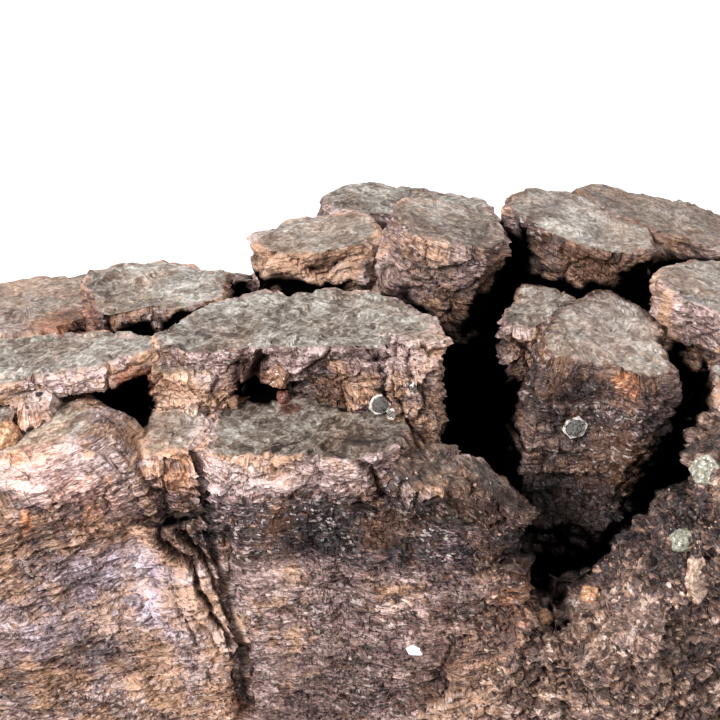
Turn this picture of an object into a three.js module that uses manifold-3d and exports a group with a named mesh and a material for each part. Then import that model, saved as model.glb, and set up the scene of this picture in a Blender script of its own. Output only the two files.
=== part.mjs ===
// A hand-sized cluster of phlogopite: books of mica grown into each other, standing on the flat break
// under them, with small loose-looking crystals and grains sitting on the books.
//
// Millimetres, +Z up. X runs along the specimen, Y from its show face to its back. The origin is the
// middle of the footprint, on the break that the specimen rests on.
import * as THREE from "three";
import { mergeVertices } from "three/addons/utils/BufferGeometryUtils.js";
import Module from "manifold-3d";

const wasm = await Module();
wasm.setup();

// ---- Driving dimensions --------------------------------------------------------------------------

const FOOTPRINT_MIDDLE = [3.6, 9]; // the middle of the footprint, in the layout of the tables below
const SHEET_GROUP = 5.5; // mean thickness of one group of sheets that broke off together
const GROUP_LAP = 0.25; // how far each group runs into the one below, so that they grow into one solid
const RAGGED = 0.55; // how far a group's corners stray from the book's outline
const SEAT_GAP = 0.3; // clearance between a small crystal and the hollow in the books that holds it
const ROOM = 400; // side of the box that the break underneath is cut with, well past the specimen

// Each book is a stack of cleavage sheets. at is the middle of its top face. tilt is how far that face
// leans to the front and to the right, in degrees. outline is its rim seen square to the sheets, from
// the front, counter-clockwise. depth is its thickness, and flare its foot's size against its top.
const books = [
  // The front of the cluster.
  {
    name: "front",
    at: [0, -13.8, 31.8],
    tilt: [5, 2],
    depth: 37,
    flare: 1.05,
    outline: [
      [0, -4.2], [8, -5], [13.6, -4.8], [17.4, -3.4], [18, 2], [14, 6], [8, 10], [2, 20], [-12, 19],
      [-17, 8], [-16.4, -0.8], [-8, -2.6],
    ],
  },
  {
    name: "front_ledge",
    at: [-5.6, -13.4, 38.8],
    tilt: [17, 0],
    depth: 9.5,
    flare: 1.1,
    outline: [
      [-5, -4.2], [0, -4.6], [6, -5], [9, -3.4], [11.4, -0.4], [11, 8], [3, 11], [-6, 11], [-11, 7],
      [-10.8, -2.4], [-9, -4],
    ],
  },
  {
    name: "front_shelf",
    at: [7.4, -15, 36.1],
    tilt: [12, 10],
    depth: 7,
    flare: 1.05,
    outline: [[-1, -4.4], [2.4, -4], [5, -3.4], [5.6, 0], [4, 5], [-3, 5], [-5, 0], [-4.4, -4]],
  },
  {
    name: "front_right_end",
    at: [15.4, -14.8, 33.6],
    tilt: [4, 34],
    depth: 10,
    flare: 1.0,
    outline: [
      [0, -3.9], [3.6, -3.2], [5.2, 0.4], [3.6, 3.2], [-1, 4], [-5, 3.4], [-6, -1], [-3.6, -3.8],
    ],
  },
  {
    name: "front_right_foot",
    at: [13.4, -14.2, 26.6],
    tilt: [3, 6],
    depth: 28,
    flare: 1.2,
    outline: [[0, -4.8], [4.8, -4], [5.6, 0], [3, 5], [-3, 6], [-7, 3], [-8, -2], [-4, -4.4]],
  },
  {
    name: "front_left_end",
    at: [-21, -13.2, 38.8],
    tilt: [14, -8],
    depth: 12,
    flare: 1.0,
    outline: [[0, -4], [3.4, -3.4], [5.4, 3], [2, 8], [-3, 7], [-4.2, 2], [-3.8, -3]],
  },
  {
    name: "left_front",
    at: [-38.4, -11.6, 38],
    tilt: [9, -22],
    depth: 48,
    flare: 1.04,
    outline: [
      [0, -7.6], [7, -7.4], [12, -6.4], [13.6, -1], [11.4, 3], [9, 8], [2, 12], [-10, 11], [-18, 4],
      [-16, -6], [-8, -8],
    ],
  },
  // The raised middle of the cluster.
  {
    name: "upper_plate",
    at: [-6, -2, 48.3],
    tilt: [7, 0],
    depth: 4,
    flare: 0.98,
    outline: [
      [-2, -7.5], [3, -8], [8.6, -7.8], [12, -5.8], [14.8, -2], [14.6, 2], [9, 6.5], [3, 9], [-6, 8],
      [-13, 5], [-18, -2], [-16, -6], [-9, -6.6],
    ],
  },
  {
    name: "upper_left",
    at: [-19.2, -4, 45.4],
    tilt: [6, -3],
    depth: 13,
    flare: 1.02,
    outline: [[0, -5.5], [5.4, -4.8], [6, -1], [5, 6], [0, 8], [-5, 5], [-6, -1], [-4, -5]],
  },
  {
    name: "upper_middle",
    at: [-3, -1.4, 46.2],
    tilt: [6, 2],
    depth: 13,
    flare: 1.0,
    outline: [
      [0, -7.8], [5, -8.2], [6.8, -5], [7.5, 4], [2, 8], [-7, 7], [-8.6, 3], [-5.4, -2],
      [-5, -7],
    ],
  },
  {
    name: "upper_right_end",
    at: [6.8, -4.6, 47.4],
    tilt: [-12, 3],
    depth: 22,
    flare: 1.2,
    outline: [[0.4, -5], [2.6, -3.6], [3, 0], [2.4, 5], [0, 8], [-4, 8], [-4, 1], [-3.4, -5]],
  },
  {
    name: "left_shelf",
    at: [-34, -2.4, 45.4],
    tilt: [8, -10],
    depth: 3,
    flare: 1.0,
    outline: [
      [-1, -6.4], [5, -6.2], [11, -5], [14, -1.5], [9, 1], [4, 3], [-6, 4], [-14, 3], [-17, -2],
      [-14, -7], [-7, -7.4],
    ],
  },
  {
    name: "left_under",
    at: [-38, -0.5, 42.4],
    tilt: [6, -10],
    depth: 16,
    flare: 1.1,
    outline: [[0, -6.4], [6, -5.6], [8.6, -1], [14, 5], [0, 9], [-8, 6], [-11, 0], [-8, -6]],
  },
  {
    name: "left_knob",
    at: [-37.2, -8.4, 42.2],
    tilt: [24, -8],
    depth: 7,
    flare: 1.1,
    outline: [[0, -3], [2.2, -2.4], [3, 0], [2.4, 2.6], [0, 3.2], [-2.6, 2], [-3.2, -0.4], [-2, -2.6]],
  },
  // The back row.
  {
    name: "rear_left_slab",
    at: [-25, 10, 48.4],
    tilt: [6, -4],
    depth: 9,
    flare: 0.97,
    outline: [[-1, -8], [5, -6.5], [9, -4], [10, 4], [6, 8], [-3, 8], [-9, 5], [-8, -4], [-6, -9]],
  },
  {
    name: "rear_left_low",
    at: [-41, 12, 45.4],
    tilt: [5, -3],
    depth: 16,
    flare: 1.03,
    outline: [[0, -9], [7, -7], [10, 0], [8, 8], [0, 11], [-9, 8], [-12, 0], [-7, -8]],
  },
  {
    name: "rear_left_book",
    at: [-5.6, 16.5, 53.2],
    tilt: [8, -5],
    depth: 15,
    flare: 1.06,
    outline: [[0, -5], [6, -4.5], [8.4, 0], [7, 6], [0, 7.5], [-5, 6], [-8, 0], [-5.4, -4]],
  },
  {
    name: "rear_middle_book",
    at: [10.6, 13.5, 55.4],
    tilt: [8, 13],
    depth: 12,
    flare: 1.0,
    outline: [[0, -5.6], [5, -5], [8, 0], [6.4, 5], [1, 8], [-5, 6], [-7.4, 0], [-5, -5]],
  },
  {
    name: "rear_top_plate",
    at: [5.5, 27, 54.6],
    tilt: [6, 4],
    depth: 14,
    flare: 1.05,
    outline: [[0, -6], [8, -6], [12.5, -2], [11, 5], [2, 8], [-6, 7], [-11, 2], [-9, -4]],
  },
  {
    name: "rear_right_book",
    at: [27.5, 19.6, 54.3],
    tilt: [9, 11],
    depth: 11,
    flare: 0.97,
    outline: [[0, -7.5], [5, -8], [9.6, -4], [10, 3], [5, 8], [-3, 9], [-8, 6], [-10, 0], [-6, -4.6]],
  },
  {
    name: "far_right_slope",
    at: [41, 28, 52.4],
    tilt: [5, 15],
    depth: 48,
    flare: 0.92,
    outline: [[0, -8], [9, -7], [14, -1], [12, 7], [1, 9], [-9, 8], [-14, 2], [-9, -6]],
  },
  // The right-hand side.
  {
    name: "right_book",
    at: [28.2, 0.5, 46.4],
    tilt: [12, 9],
    depth: 40,
    flare: 1.14,
    outline: [
      [0, -8.6], [4, -10.6], [8.4, -8], [7.2, -2.5], [8, 2], [6, 7], [2, 10.6], [-3, 8],
      [-6.4, 3], [-8.6, -5], [-7, -10],
    ],
  },
  {
    name: "small_book",
    at: [20.5, 6, 47.6],
    tilt: [9, 0],
    depth: 8,
    flare: 0.85,
    outline: [[-1, -7], [2.5, -4], [5.5, 2], [3, 6], [-1, 5.4], [-4, 0], [-4.6, -5]],
  },
  {
    name: "right_end_book",
    at: [43, 8, 49.4],
    tilt: [8, 9],
    depth: 15,
    flare: 0.94,
    outline: [[0, -8], [7, -8], [12, -2], [10, 6], [2, 9], [-4, 7], [-8, 1], [-6, -5]],
  },
  {
    name: "right_mound_low",
    at: [26.4, -16, 19.4],
    tilt: [22, -36],
    depth: 26,
    flare: 1.1,
    outline: [[0, -6.4], [5, -6], [8, -1], [6, 5], [0, 6], [-5, 4.6], [-7.4, -1], [-5, -5.6]],
  },
  {
    name: "right_mound_foot",
    at: [22, -13.8, 17.6],
    tilt: [12, -18],
    depth: 18,
    flare: 1.1,
    outline: [[0, -5.6], [6, -5], [9, 0], [6, 6], [-4, 6], [-8, 2], [-8, -3], [-4, -5.4]],
  },
  {
    name: "right_mound_middle",
    at: [33, -13.6, 25.6],
    tilt: [20, -38],
    depth: 36,
    flare: 1.06,
    outline: [[0, -7.6], [5, -7], [8, 0], [6, 6], [0, 6.6], [-5, 4], [-7, -3], [-4, -7]],
  },
  {
    name: "right_mound_step",
    at: [38.4, -12.5, 31.4],
    tilt: [14, -30],
    depth: 40,
    flare: 1.04,
    outline: [[0, -8], [4, -7.4], [7, 0], [5, 6], [0, 7], [-5, 5], [-6, -2], [-4, -7.4]],
  },
  {
    name: "right_mound_high",
    at: [45, -9, 38],
    tilt: [6, -9],
    depth: 46,
    flare: 1.08,
    outline: [[0, -10], [8, -9], [13, -2], [11, 7], [2, 8], [-5, 6], [-9, -1], [-7, -8]],
  },
  // The roots that the fissures run down to.
  {
    name: "left_root",
    at: [-22, 7, 35],
    tilt: [0, -6],
    depth: 38,
    flare: 1.02,
    outline: [
      [0, -15], [14, -15], [29, -14], [30, 4], [28, 16], [6, 22], [-14, 18], [-26, 8], [-26, -6],
      [-14, -14],
    ],
  },
  {
    name: "right_root",
    at: [38, 7, 15],
    tilt: [0, 0],
    depth: 19,
    flare: 1.02,
    outline: [
      [0, -18], [10, -18], [18, -8], [16, 12], [6, 22], [-8, 24], [-18, 16], [-20, -2],
      [-18, -12], [-10, -18],
    ],
  },
  {
    name: "front_root",
    at: [18, -6, 11],
    tilt: [0, 0],
    depth: 14,
    flare: 1.0,
    outline: [[0, -10], [12, -10], [18, -4], [12, 20], [-14, 22], [-16, 4], [-12, -10]],
  },
  {
    name: "rear_root",
    at: [2, 23, 42],
    tilt: [3, 2],
    depth: 46,
    flare: 1.03,
    outline: [
      [0, -13], [14, -12.4], [30, -12], [42, -8], [48, 0], [42, 9], [16, 11], [-18, 11],
      [-40, 8], [-48, -2], [-34, -12], [-14, -13],
    ],
  },
  // The back and the ends.
  {
    name: "back_left_book",
    at: [-27, 27, 42.6],
    tilt: [-7, -10],
    depth: 48,
    flare: 1.08,
    outline: [[0, -9], [10, -8], [13, 0], [9, 9], [0, 11], [-11, 8], [-15, 0], [-10, -8]],
  },
  {
    name: "back_middle_book",
    at: [-1, 30, 49.4],
    tilt: [-8, 2],
    depth: 52,
    flare: 1.1,
    outline: [[0, -9], [9, -8], [12, 0], [9, 7.6], [0, 9.4], [-9, 7], [-13, 0], [-9, -8]],
  },
  {
    name: "back_right_book",
    at: [25, 30, 47],
    tilt: [-9, 9],
    depth: 50,
    flare: 1.08,
    outline: [[0, -9], [11, -8], [15, 0], [10, 8], [0, 9.6], [-10, 8], [-13, 0], [-10, -8]],
  },
  {
    name: "left_end_book",
    at: [-47, 0, 38],
    tilt: [3, -17],
    depth: 42,
    flare: 1.0,
    outline: [[0, -13], [8, -12], [10, 0], [9, 13], [0, 16], [-8, 11], [-11, 1], [-8, -9]],
  },
  {
    name: "right_end_mass",
    at: [50, 6, 40],
    tilt: [2, 12],
    depth: 46,
    flare: 1.04,
    outline: [[0, -14], [6, -10], [9, 0], [7, 12], [0, 18], [-9, 14], [-10, 0], [-8, -12]],
  },
  // What closes the front between the larger books.
  {
    name: "front_left_foot",
    at: [-20.2, -14, 30.4],
    tilt: [10, -10],
    depth: 31,
    flare: 1.06,
    outline: [[0, -4.4], [3, -3.4], [6.6, 0.8], [6, 6], [2, 8], [-3, 7], [-5.4, 2], [-5.6, -2.6], [-3, -4.6]],
  },
  {
    name: "right_apron",
    at: [16.8, -16, 21.2],
    tilt: [12, -5],
    depth: 22,
    flare: 1.16,
    outline: [[0, -4.4], [2, -3.6], [2.4, 0], [1, 4], [-3, 4], [-5, 1], [-5.2, -2.4], [-3, -4]],
  },
];

// The small crystals and grains that grew on the books or lodged in their cracks. at is the middle of
// each one, on the surface that carries it. faces is the way its flat face looks, as degrees round from
// the front to the right and degrees up. size is its width, its height and how thick it is.
const crystals = [
  {
    name: "clear_flake",
    look: "clear",
    at: [2.2, -9.4, 41.1],
    faces: [14, 12],
    size: [2.6, 2.4, 0.5],
    sides: 6,
  },
  {
    name: "clear_chip",
    look: "clear",
    at: [3.5, -11.9, 41],
    faces: [-20, 5],
    size: [1.1, 1.5, 0.5],
    sides: 5,
  },
  {
    name: "standing_flake",
    look: "clear",
    at: [5.9, -10.7, 43.5],
    faces: [62, 8],
    size: [1, 1.6, 0.4],
    sides: 6,
  },
  {
    name: "hexagonal_flake",
    look: "clear",
    at: [24.5, -6.8, 37.3],
    faces: [12, -8],
    size: [3, 2.8, 0.5],
    sides: 6,
  },
  {
    name: "pocket_crystal",
    look: "brown",
    at: [-9, -9.1, 44.4],
    faces: [-24, 10],
    size: [3, 3.2, 1.6],
    sides: 5,
  },
  {
    name: "tan_crystal",
    look: "tan",
    at: [-18.8, -9.3, 40.6],
    faces: [12, 18],
    size: [1.6, 2, 1.1],
    sides: 6,
  },
  {
    name: "pale_flake",
    look: "clear",
    at: [6.2, -17.6, 14.7],
    faces: [-10, 8],
    size: [2.3, 1.3, 0.5],
    sides: 5,
  },
  {
    name: "green_crystal",
    look: "green",
    at: [37.9, -15.3, 35.7],
    faces: [-20, 30],
    size: [3.6, 3.6, 1.8],
    sides: 6,
  },
  {
    name: "blade_crystal",
    look: "tan",
    at: [36.7, -20.4, 25.2],
    faces: [24, 6],
    size: [2.4, 6.2, 1.4],
    sides: 6,
  },
  {
    name: "red_grain",
    look: "red",
    at: [-8.5, -7.4, 41.2],
    radius: 0.9,
  },
  {
    name: "orange_grain",
    look: "amber",
    at: [-39.3, -12.2, 38.3],
    radius: 2,
  },
  {
    name: "green_grain",
    look: "green",
    at: [35.4, -17.7, 28.4],
    radius: 1.4,
  },
  {
    name: "amber_grain",
    look: "amber",
    at: [20.6, -14.9, 17.3],
    radius: 1.2,
  },
  {
    name: "pink_grain",
    look: "amber",
    at: [26, -14.8, 20.2],
    radius: 1.2,
  },
];

const looks = {
  books: { color: 0x7d6a5f, roughness: 0.6, metalness: 0 },
  clear: { color: 0xc9c3b6, roughness: 0.12, metalness: 0 },
  brown: { color: 0x7a5238, roughness: 0.3, metalness: 0 },
  tan: { color: 0xb3906c, roughness: 0.35, metalness: 0 },
  green: { color: 0xa8ab93, roughness: 0.25, metalness: 0 },
  red: { color: 0x8e3320, roughness: 0.3, metalness: 0 },
  amber: { color: 0xb5733b, roughness: 0.3, metalness: 0 },
};

// ---- Helpers -------------------------------------------------------------------------------------

// A repeatable number from 0 to 1 for a pair of whole numbers.
function scatter(a, b) {
  const wave = Math.sin(a * 127.1 + b * 311.7) * 43758.5453;
  return wave - Math.floor(wave);
}

// A closed three.js geometry as a manifold-3d solid.
function toSolid(geometry) {
  const bare = geometry.index ? geometry.toNonIndexed() : geometry.clone();
  bare.deleteAttribute("normal");
  bare.deleteAttribute("uv");
  const merged = mergeVertices(bare, 1e-4);
  return new wasm.Manifold(
    new wasm.Mesh({
      numProp: 3,
      vertProperties: merged.attributes.position.array,
      triVerts: new Uint32Array(merged.index.array),
    }),
  );
}

// A manifold-3d solid as a three.js geometry.
function toGeometry(solid) {
  const mesh = solid.getMesh();
  const geometry = new THREE.BufferGeometry();
  geometry.setAttribute("position", new THREE.Float32BufferAttribute(mesh.vertProperties, 3));
  geometry.setIndex(new THREE.Uint32BufferAttribute(mesh.triVerts, 1));
  return geometry;
}

// Where a face lies in the cluster: tipped to the front and to the right, about its own middle.
function placement(at, [toFront, toRight]) {
  const lean = [toFront, toRight].map((angle) => THREE.MathUtils.degToRad(angle));
  const turn = new THREE.Euler(lean[0], lean[1], 0, "YXZ");
  return new THREE.Matrix4()
    .makeRotationFromEuler(turn)
    .setPosition(at[0] - FOOTPRINT_MIDDLE[0], at[1] - FOOTPRINT_MIDDLE[1], at[2]);
}

// ---- The cluster ---------------------------------------------------------------------------------

// One group of sheets: the book's outline at that level, with its corners strayed, as a prism.
function sheetGroup(book, bookIndex, level, levels) {
  const share = levels > 1 ? level / (levels - 1) : 0;
  const size = THREE.MathUtils.lerp(1, book.flare, share);
  const rim = book.outline.map(([x, y], corner) => {
    const stray = level === 0 ? 0 : (scatter(bookIndex * 17 + level, corner) - 0.5) * 2 * RAGGED;
    const reach = size + stray / Math.hypot(x, y);
    return new THREE.Vector2(x * reach, y * reach);
  });
  const thickness = book.depth / levels;
  const geometry = new THREE.ExtrudeGeometry(new THREE.Shape(rim), {
    depth: thickness + (level < levels - 1 ? GROUP_LAP : 0),
    bevelEnabled: false,
  });
  geometry.translate(0, 0, -(level + 1) * thickness - (level < levels - 1 ? GROUP_LAP : 0));
  return toSolid(geometry.applyMatrix4(placement(book.at, book.tilt)));
}

// Every book's groups of sheets joined into one solid, and broken off flat underneath.
function growCluster() {
  let cluster = null;
  books.forEach((book, bookIndex) => {
    const levels = Math.max(1, Math.round(book.depth / SHEET_GROUP));
    for (let level = 0; level < levels; level++) {
      const group = sheetGroup(book, bookIndex, level, levels);
      cluster = cluster ? cluster.add(group) : group;
    }
  });
  const above = new THREE.BoxGeometry(ROOM, ROOM, ROOM).translate(0, 0, ROOM / 2);
  return cluster.intersect(toSolid(above));
}

// ---- The small crystals --------------------------------------------------------------------------

// A plate with straight growth edges, its face looking along +Z, or a knobbly grain, grown by margin.
function crystalGeometry(crystal, crystalIndex, margin) {
  if (crystal.radius) {
    return new THREE.IcosahedronGeometry(crystal.radius + margin, 1);
  }
  const [width, height, thickness] = crystal.size;
  const rim = [];
  for (let corner = 0; corner < crystal.sides; corner++) {
    const around = ((corner + 0.4 * scatter(crystalIndex, corner)) / crystal.sides) * 2 * Math.PI;
    const x = Math.cos(around) * (width / 2 + margin);
    const y = Math.sin(around) * (height / 2 + margin);
    rim.push(new THREE.Vector2(x, y));
  }
  const depth = thickness + 2 * margin;
  const plate = new THREE.ExtrudeGeometry(new THREE.Shape(rim), { depth, bevelEnabled: false });
  return plate.translate(0, 0, -depth / 2);
}

// The crystal where it sits, as a solid.
function crystalSolid(crystal, crystalIndex, margin) {
  const [round, up] = crystal.faces ?? [0, 0];
  const upright = new THREE.Matrix4().makeRotationX(THREE.MathUtils.degToRad(90 - up));
  const turned = new THREE.Matrix4().makeRotationZ(THREE.MathUtils.degToRad(round));
  const seat = new THREE.Matrix4().setPosition(
    crystal.at[0] - FOOTPRINT_MIDDLE[0],
    crystal.at[1] - FOOTPRINT_MIDDLE[1],
    crystal.at[2],
  );
  const geometry = crystalGeometry(crystal, crystalIndex, margin);
  return toSolid(geometry.applyMatrix4(seat.multiply(turned).multiply(upright)));
}

// ---- The specimen --------------------------------------------------------------------------------

function makePiece(name, solid, look) {
  const mesh = new THREE.Mesh(toGeometry(solid), new THREE.MeshStandardMaterial(looks[look]));
  mesh.name = name;
  return mesh;
}

const specimen = new THREE.Group();
let cluster = growCluster();
crystals.forEach((crystal, crystalIndex) => {
  cluster = cluster.subtract(crystalSolid(crystal, crystalIndex, SEAT_GAP));
  specimen.add(makePiece(crystal.name, crystalSolid(crystal, crystalIndex, 0), crystal.look));
});
specimen.add(makePiece("mica_book_cluster", cluster, "books"));

export default specimen;
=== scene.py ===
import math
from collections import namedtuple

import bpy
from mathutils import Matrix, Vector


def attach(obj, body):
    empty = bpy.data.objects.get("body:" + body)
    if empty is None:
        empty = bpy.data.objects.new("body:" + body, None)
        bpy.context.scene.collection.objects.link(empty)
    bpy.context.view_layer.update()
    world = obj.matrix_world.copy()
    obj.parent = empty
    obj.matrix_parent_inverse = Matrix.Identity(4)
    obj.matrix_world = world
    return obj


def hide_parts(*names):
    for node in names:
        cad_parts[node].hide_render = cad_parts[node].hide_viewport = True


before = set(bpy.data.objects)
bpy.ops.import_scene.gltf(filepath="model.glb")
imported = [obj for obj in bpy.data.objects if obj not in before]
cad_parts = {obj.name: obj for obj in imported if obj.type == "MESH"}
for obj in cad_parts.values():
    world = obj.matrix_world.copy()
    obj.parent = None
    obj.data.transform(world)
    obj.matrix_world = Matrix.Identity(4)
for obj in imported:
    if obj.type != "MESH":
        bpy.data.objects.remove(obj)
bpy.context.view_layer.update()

# %% [markdown]
# # A cluster of phlogopite books
#
# Phlogopite is a brown mica. It grows as books: short, thick stacks of sheets that split apart as thin
# as paper. In this specimen forty books grew into each other, and the gaps between them are deep
# and dark. The flat face of each book is a smooth grey-green sheet, and its sides are the edges of all
# the sheets below, weathered to tan, orange-brown and purplish black.
#
# The specimen could be sculpted by hand, but everything on it follows one rule: a rim, a stack of
# sheets under it, and wear on the edges. So one Geometry Nodes tree is that rule, and each book is that
# tree with its own rim, place and tilt.

MM = 0.001  # Blender works in metres, and the tables here are in millimetres
FOOTPRINT_MIDDLE = Vector((3.6, 9.0, 0.0))  # the frame's origin, in the layout that the tables use
cluster_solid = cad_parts["mica_book_cluster"]


def add_object(name, data):
    obj = bpy.data.objects.new(name, data)
    bpy.context.scene.collection.objects.link(obj)
    return obj


print("the frame holds", len(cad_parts), "nodes")

# %% [markdown]
# ## The camera
#
# The specimen is looked at from close by and a little above, with a long lens, so that the books keep
# their true widths from front to back. The camera aims at the middle of the raised block.

# %% Camera
AIM = Vector((0.0, 0.0, 43.0)) - FOOTPRINT_MIDDLE
VIEW_DISTANCE = 198.0
VIEW_HEIGHT = math.radians(20)
LENS = 85  # focal length of the lens and width of the sensor behind it, mm
SENSOR = 36
NEAREST, FARTHEST = 10 * MM, 20.0  # only what lies between them is drawn, metres


def add_camera():
    camera = add_object("camera", bpy.data.cameras.new("camera"))
    towards_camera = Vector((0, -math.cos(VIEW_HEIGHT), math.sin(VIEW_HEIGHT)))
    camera.location = (AIM + towards_camera * VIEW_DISTANCE) * MM
    camera.rotation_euler = (-towards_camera).to_track_quat("-Z", "Y").to_euler()
    camera.data.lens = LENS
    camera.data.sensor_width = SENSOR
    camera.data.clip_start = NEAREST
    camera.data.clip_end = FARTHEST
    bpy.context.scene.camera = camera
    return camera


print("camera at", tuple(round(v, 3) for v in add_camera().location))

# %% [markdown]
# ## Formulas as nodes
#
# A rule such as "height is depth times share" is one Math node, and a real rule is dozens of them. A
# small helper class lets them be written as sums: adding two wires places a Math node and returns its
# output. It works in shader trees as well, because they share the same nodes.

# %% Wires
class Wire:
    """The output of a node. Arithmetic on wires adds nodes to the wires' own tree."""

    def __init__(self, tree, socket):
        self.tree = tree
        self.socket = socket

    def is_vector(self):
        return self.socket.type in {"VECTOR", "RGBA"}

    def __add__(self, other):
        return calculate(self.tree, "ADD", self, other)

    def __sub__(self, other):
        return calculate(self.tree, "SUBTRACT", self, other)

    def __mul__(self, other):
        return calculate(self.tree, "MULTIPLY", self, other)

    def __truediv__(self, other):
        return calculate(self.tree, "DIVIDE", self, other)

    def __radd__(self, other):
        return calculate(self.tree, "ADD", other, self)

    def __rsub__(self, other):
        return calculate(self.tree, "SUBTRACT", other, self)

    def __rmul__(self, other):
        return calculate(self.tree, "MULTIPLY", other, self)


def plug(tree, value, socket):
    """Feeds a socket with a wire, or sets it to a plain value."""
    if isinstance(value, Wire):
        tree.links.new(value.socket, socket)
    elif socket.type == "VECTOR" and isinstance(value, (int, float)):
        socket.default_value = (value, value, value)
    else:
        socket.default_value = value


def add_node(tree, kind, inputs=None, **settings):
    """Adds one node. settings are its options, and inputs its sockets by name or number."""
    node = tree.nodes.new(kind)
    for name, value in settings.items():
        setattr(node, name, value)
    for name, value in (inputs or {}).items():
        plug(tree, value, node.inputs[name])
    return node


def calculate(tree, operation, *values):
    """One Math node, or one Vector Math node where a value is a vector."""
    vector = any(isinstance(v, tuple) or isinstance(v, Wire) and v.is_vector() for v in values)
    kind = "ShaderNodeVectorMath" if vector else "ShaderNodeMath"
    node = add_node(tree, kind, dict(enumerate(values)), operation=operation)
    gives_number = operation in {"LENGTH", "DOT_PRODUCT", "DISTANCE"}
    return Wire(tree, node.outputs[1 if vector and gives_number else 0])


print("wires can be added, subtracted, multiplied and divided")

# %% [markdown]
# Weathered mica is described with ramps from one value to another, clouds of noise and patterns of
# cells. Each of these is a single node, and a short function places it.

# %% Ramps, clouds and cells
def lowest(a, b):
    return calculate(a.tree, "MINIMUM", a, b)


def highest(a, b):
    return calculate(a.tree, "MAXIMUM", a, b)


def ramp(value, start, end, low=0.0, high=1.0, shape="SMOOTHSTEP"):
    """low up to start, high from end on, and a smooth rise between."""
    names = ("Value", "From Min", "From Max", "To Min", "To Max")
    inputs = dict(zip(names, (value, start, end, low, high)))
    node = add_node(value.tree, "ShaderNodeMapRange", inputs, interpolation_type=shape)
    return Wire(value.tree, node.outputs[0])


def parts_of(vector):
    node = add_node(vector.tree, "ShaderNodeSeparateXYZ", {0: vector})
    return [Wire(vector.tree, socket) for socket in node.outputs]


def joined(tree, x, y, z):
    node = add_node(tree, "ShaderNodeCombineXYZ", {0: x, 1: y, 2: z})
    return Wire(tree, node.outputs[0])


def noise(place, scale, detail=2.0, rough=0.5):
    """A cloudy number from 0 to 1 at a place."""
    inputs = {"Vector": place, "Scale": scale, "Detail": detail, "Roughness": rough}
    node = add_node(place.tree, "ShaderNodeTexNoise", inputs)
    return Wire(place.tree, node.outputs[0])


def swing(place, scale, amount, detail=2.0, rough=0.5):
    """A cloudy number that swings from minus half the amount to plus half of it."""
    return (noise(place, scale, detail, rough) - 0.5) * amount


def cloudy_vector(place, scale, detail=2.0):
    """Three cloudy numbers at a place, each from -1 to 1."""
    inputs = {"Vector": place, "Scale": scale, "Detail": detail}
    node = add_node(place.tree, "ShaderNodeTexNoise", inputs)
    return Wire(place.tree, node.outputs[1]) * 2.0 - (1.0, 1.0, 1.0)


def cells(place, scale, feature="F1", output="Distance"):
    """A pattern of cells: the distance to each one's middle or edge, or its own random colour."""
    inputs = {"Vector": place, "Scale": scale}
    node = add_node(place.tree, "ShaderNodeTexVoronoi", inputs, feature=feature)
    return Wire(place.tree, node.outputs[output])


print("ramps, clouds and cells are ready")

# %% [markdown]
# In a geometry tree the mesh passes from node to node, and each node changes it a little. A number or
# a vector can be stored for every point on the way, as an attribute that the finish reads later. A
# tree with named inputs can be used again with other values.

# %% Steps of a tree
def passed(geometry, kind, inputs=None, **settings):
    """The geometry after one more node."""
    node = add_node(geometry.tree, kind, {0: geometry, **(inputs or {})}, **settings)
    return Wire(geometry.tree, node.outputs[0])


def output_in_use(tree, node):
    """The output for the kind of data that the node was set to: its others are off."""
    return Wire(tree, next(socket for socket in node.outputs if socket.enabled))


def place_and_normal(tree):
    """Where a point of the geometry is, and which way its surface faces."""
    kinds = ("GeometryNodeInputPosition", "GeometryNodeInputNormal")
    return [Wire(tree, add_node(tree, kind).outputs[0]) for kind in kinds]


def stored(geometry, title, value, data_type="FLOAT", domain="POINT"):
    """The geometry with the value kept on it as an attribute."""
    inputs = {"Name": title, "Value": value}
    return passed(geometry, "GeometryNodeStoreNamedAttribute", inputs, data_type=data_type, domain=domain)


def shape_of(tree, obj):
    """The mesh of an object that the tree is given."""
    node = add_node(tree, "GeometryNodeObjectInfo", {"Object": obj}, transform_space="ORIGINAL")
    return Wire(tree, node.outputs["Geometry"])


def finished(geometry, material):
    """The geometry as one plain, flat shaded mesh of one material."""
    flat = passed(geometry, "GeometryNodeSetShadeSmooth", {"Shade Smooth": False})
    whole = passed(flat, "GeometryNodeRealizeInstances")
    return passed(whole, "GeometryNodeSetMaterial", {"Material": material})


def new_tree(name, kind, inputs, outputs):
    """A node group and the wires of its inputs. inputs and outputs list (name, socket type, default)."""
    tree = bpy.data.node_groups.new(name, kind)
    for direction, sockets in (("INPUT", inputs), ("OUTPUT", outputs)):
        for title, socket_type, *default in sockets:
            kind_of_socket = "NodeSocket" + socket_type
            socket = tree.interface.new_socket(title, in_out=direction, socket_type=kind_of_socket)
            if default:
                socket.default_value = default[0]
    start = tree.nodes.new("NodeGroupInput")
    wires = {title: Wire(tree, start.outputs[title]) for title, *_ in inputs}
    return tree, wires


def finish_tree(tree, **results):
    """Feeds the group's outputs."""
    end = tree.nodes.new("NodeGroupOutput")
    for name, value in results.items():
        plug(tree, value, end.inputs[name])


print("the steps of a tree are ready")

# %% [markdown]
# ## The rule for one book
#
# A book starts as a tube of points: rows up its side, with the first rows drawn in to close its foot
# and the last rows drawn in to make its top sheet. Its rim is a loop of a few points, smoothed to a
# curve. More columns stand at the front of the rim than at the back, because the show face needs the
# finest sheets.
#
# Deep cracks run through the front books. They could be cut out with thin wedges, but real ones
# wander. So each is a line between two points, clouds bend it, and the side is pushed in along it.

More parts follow.
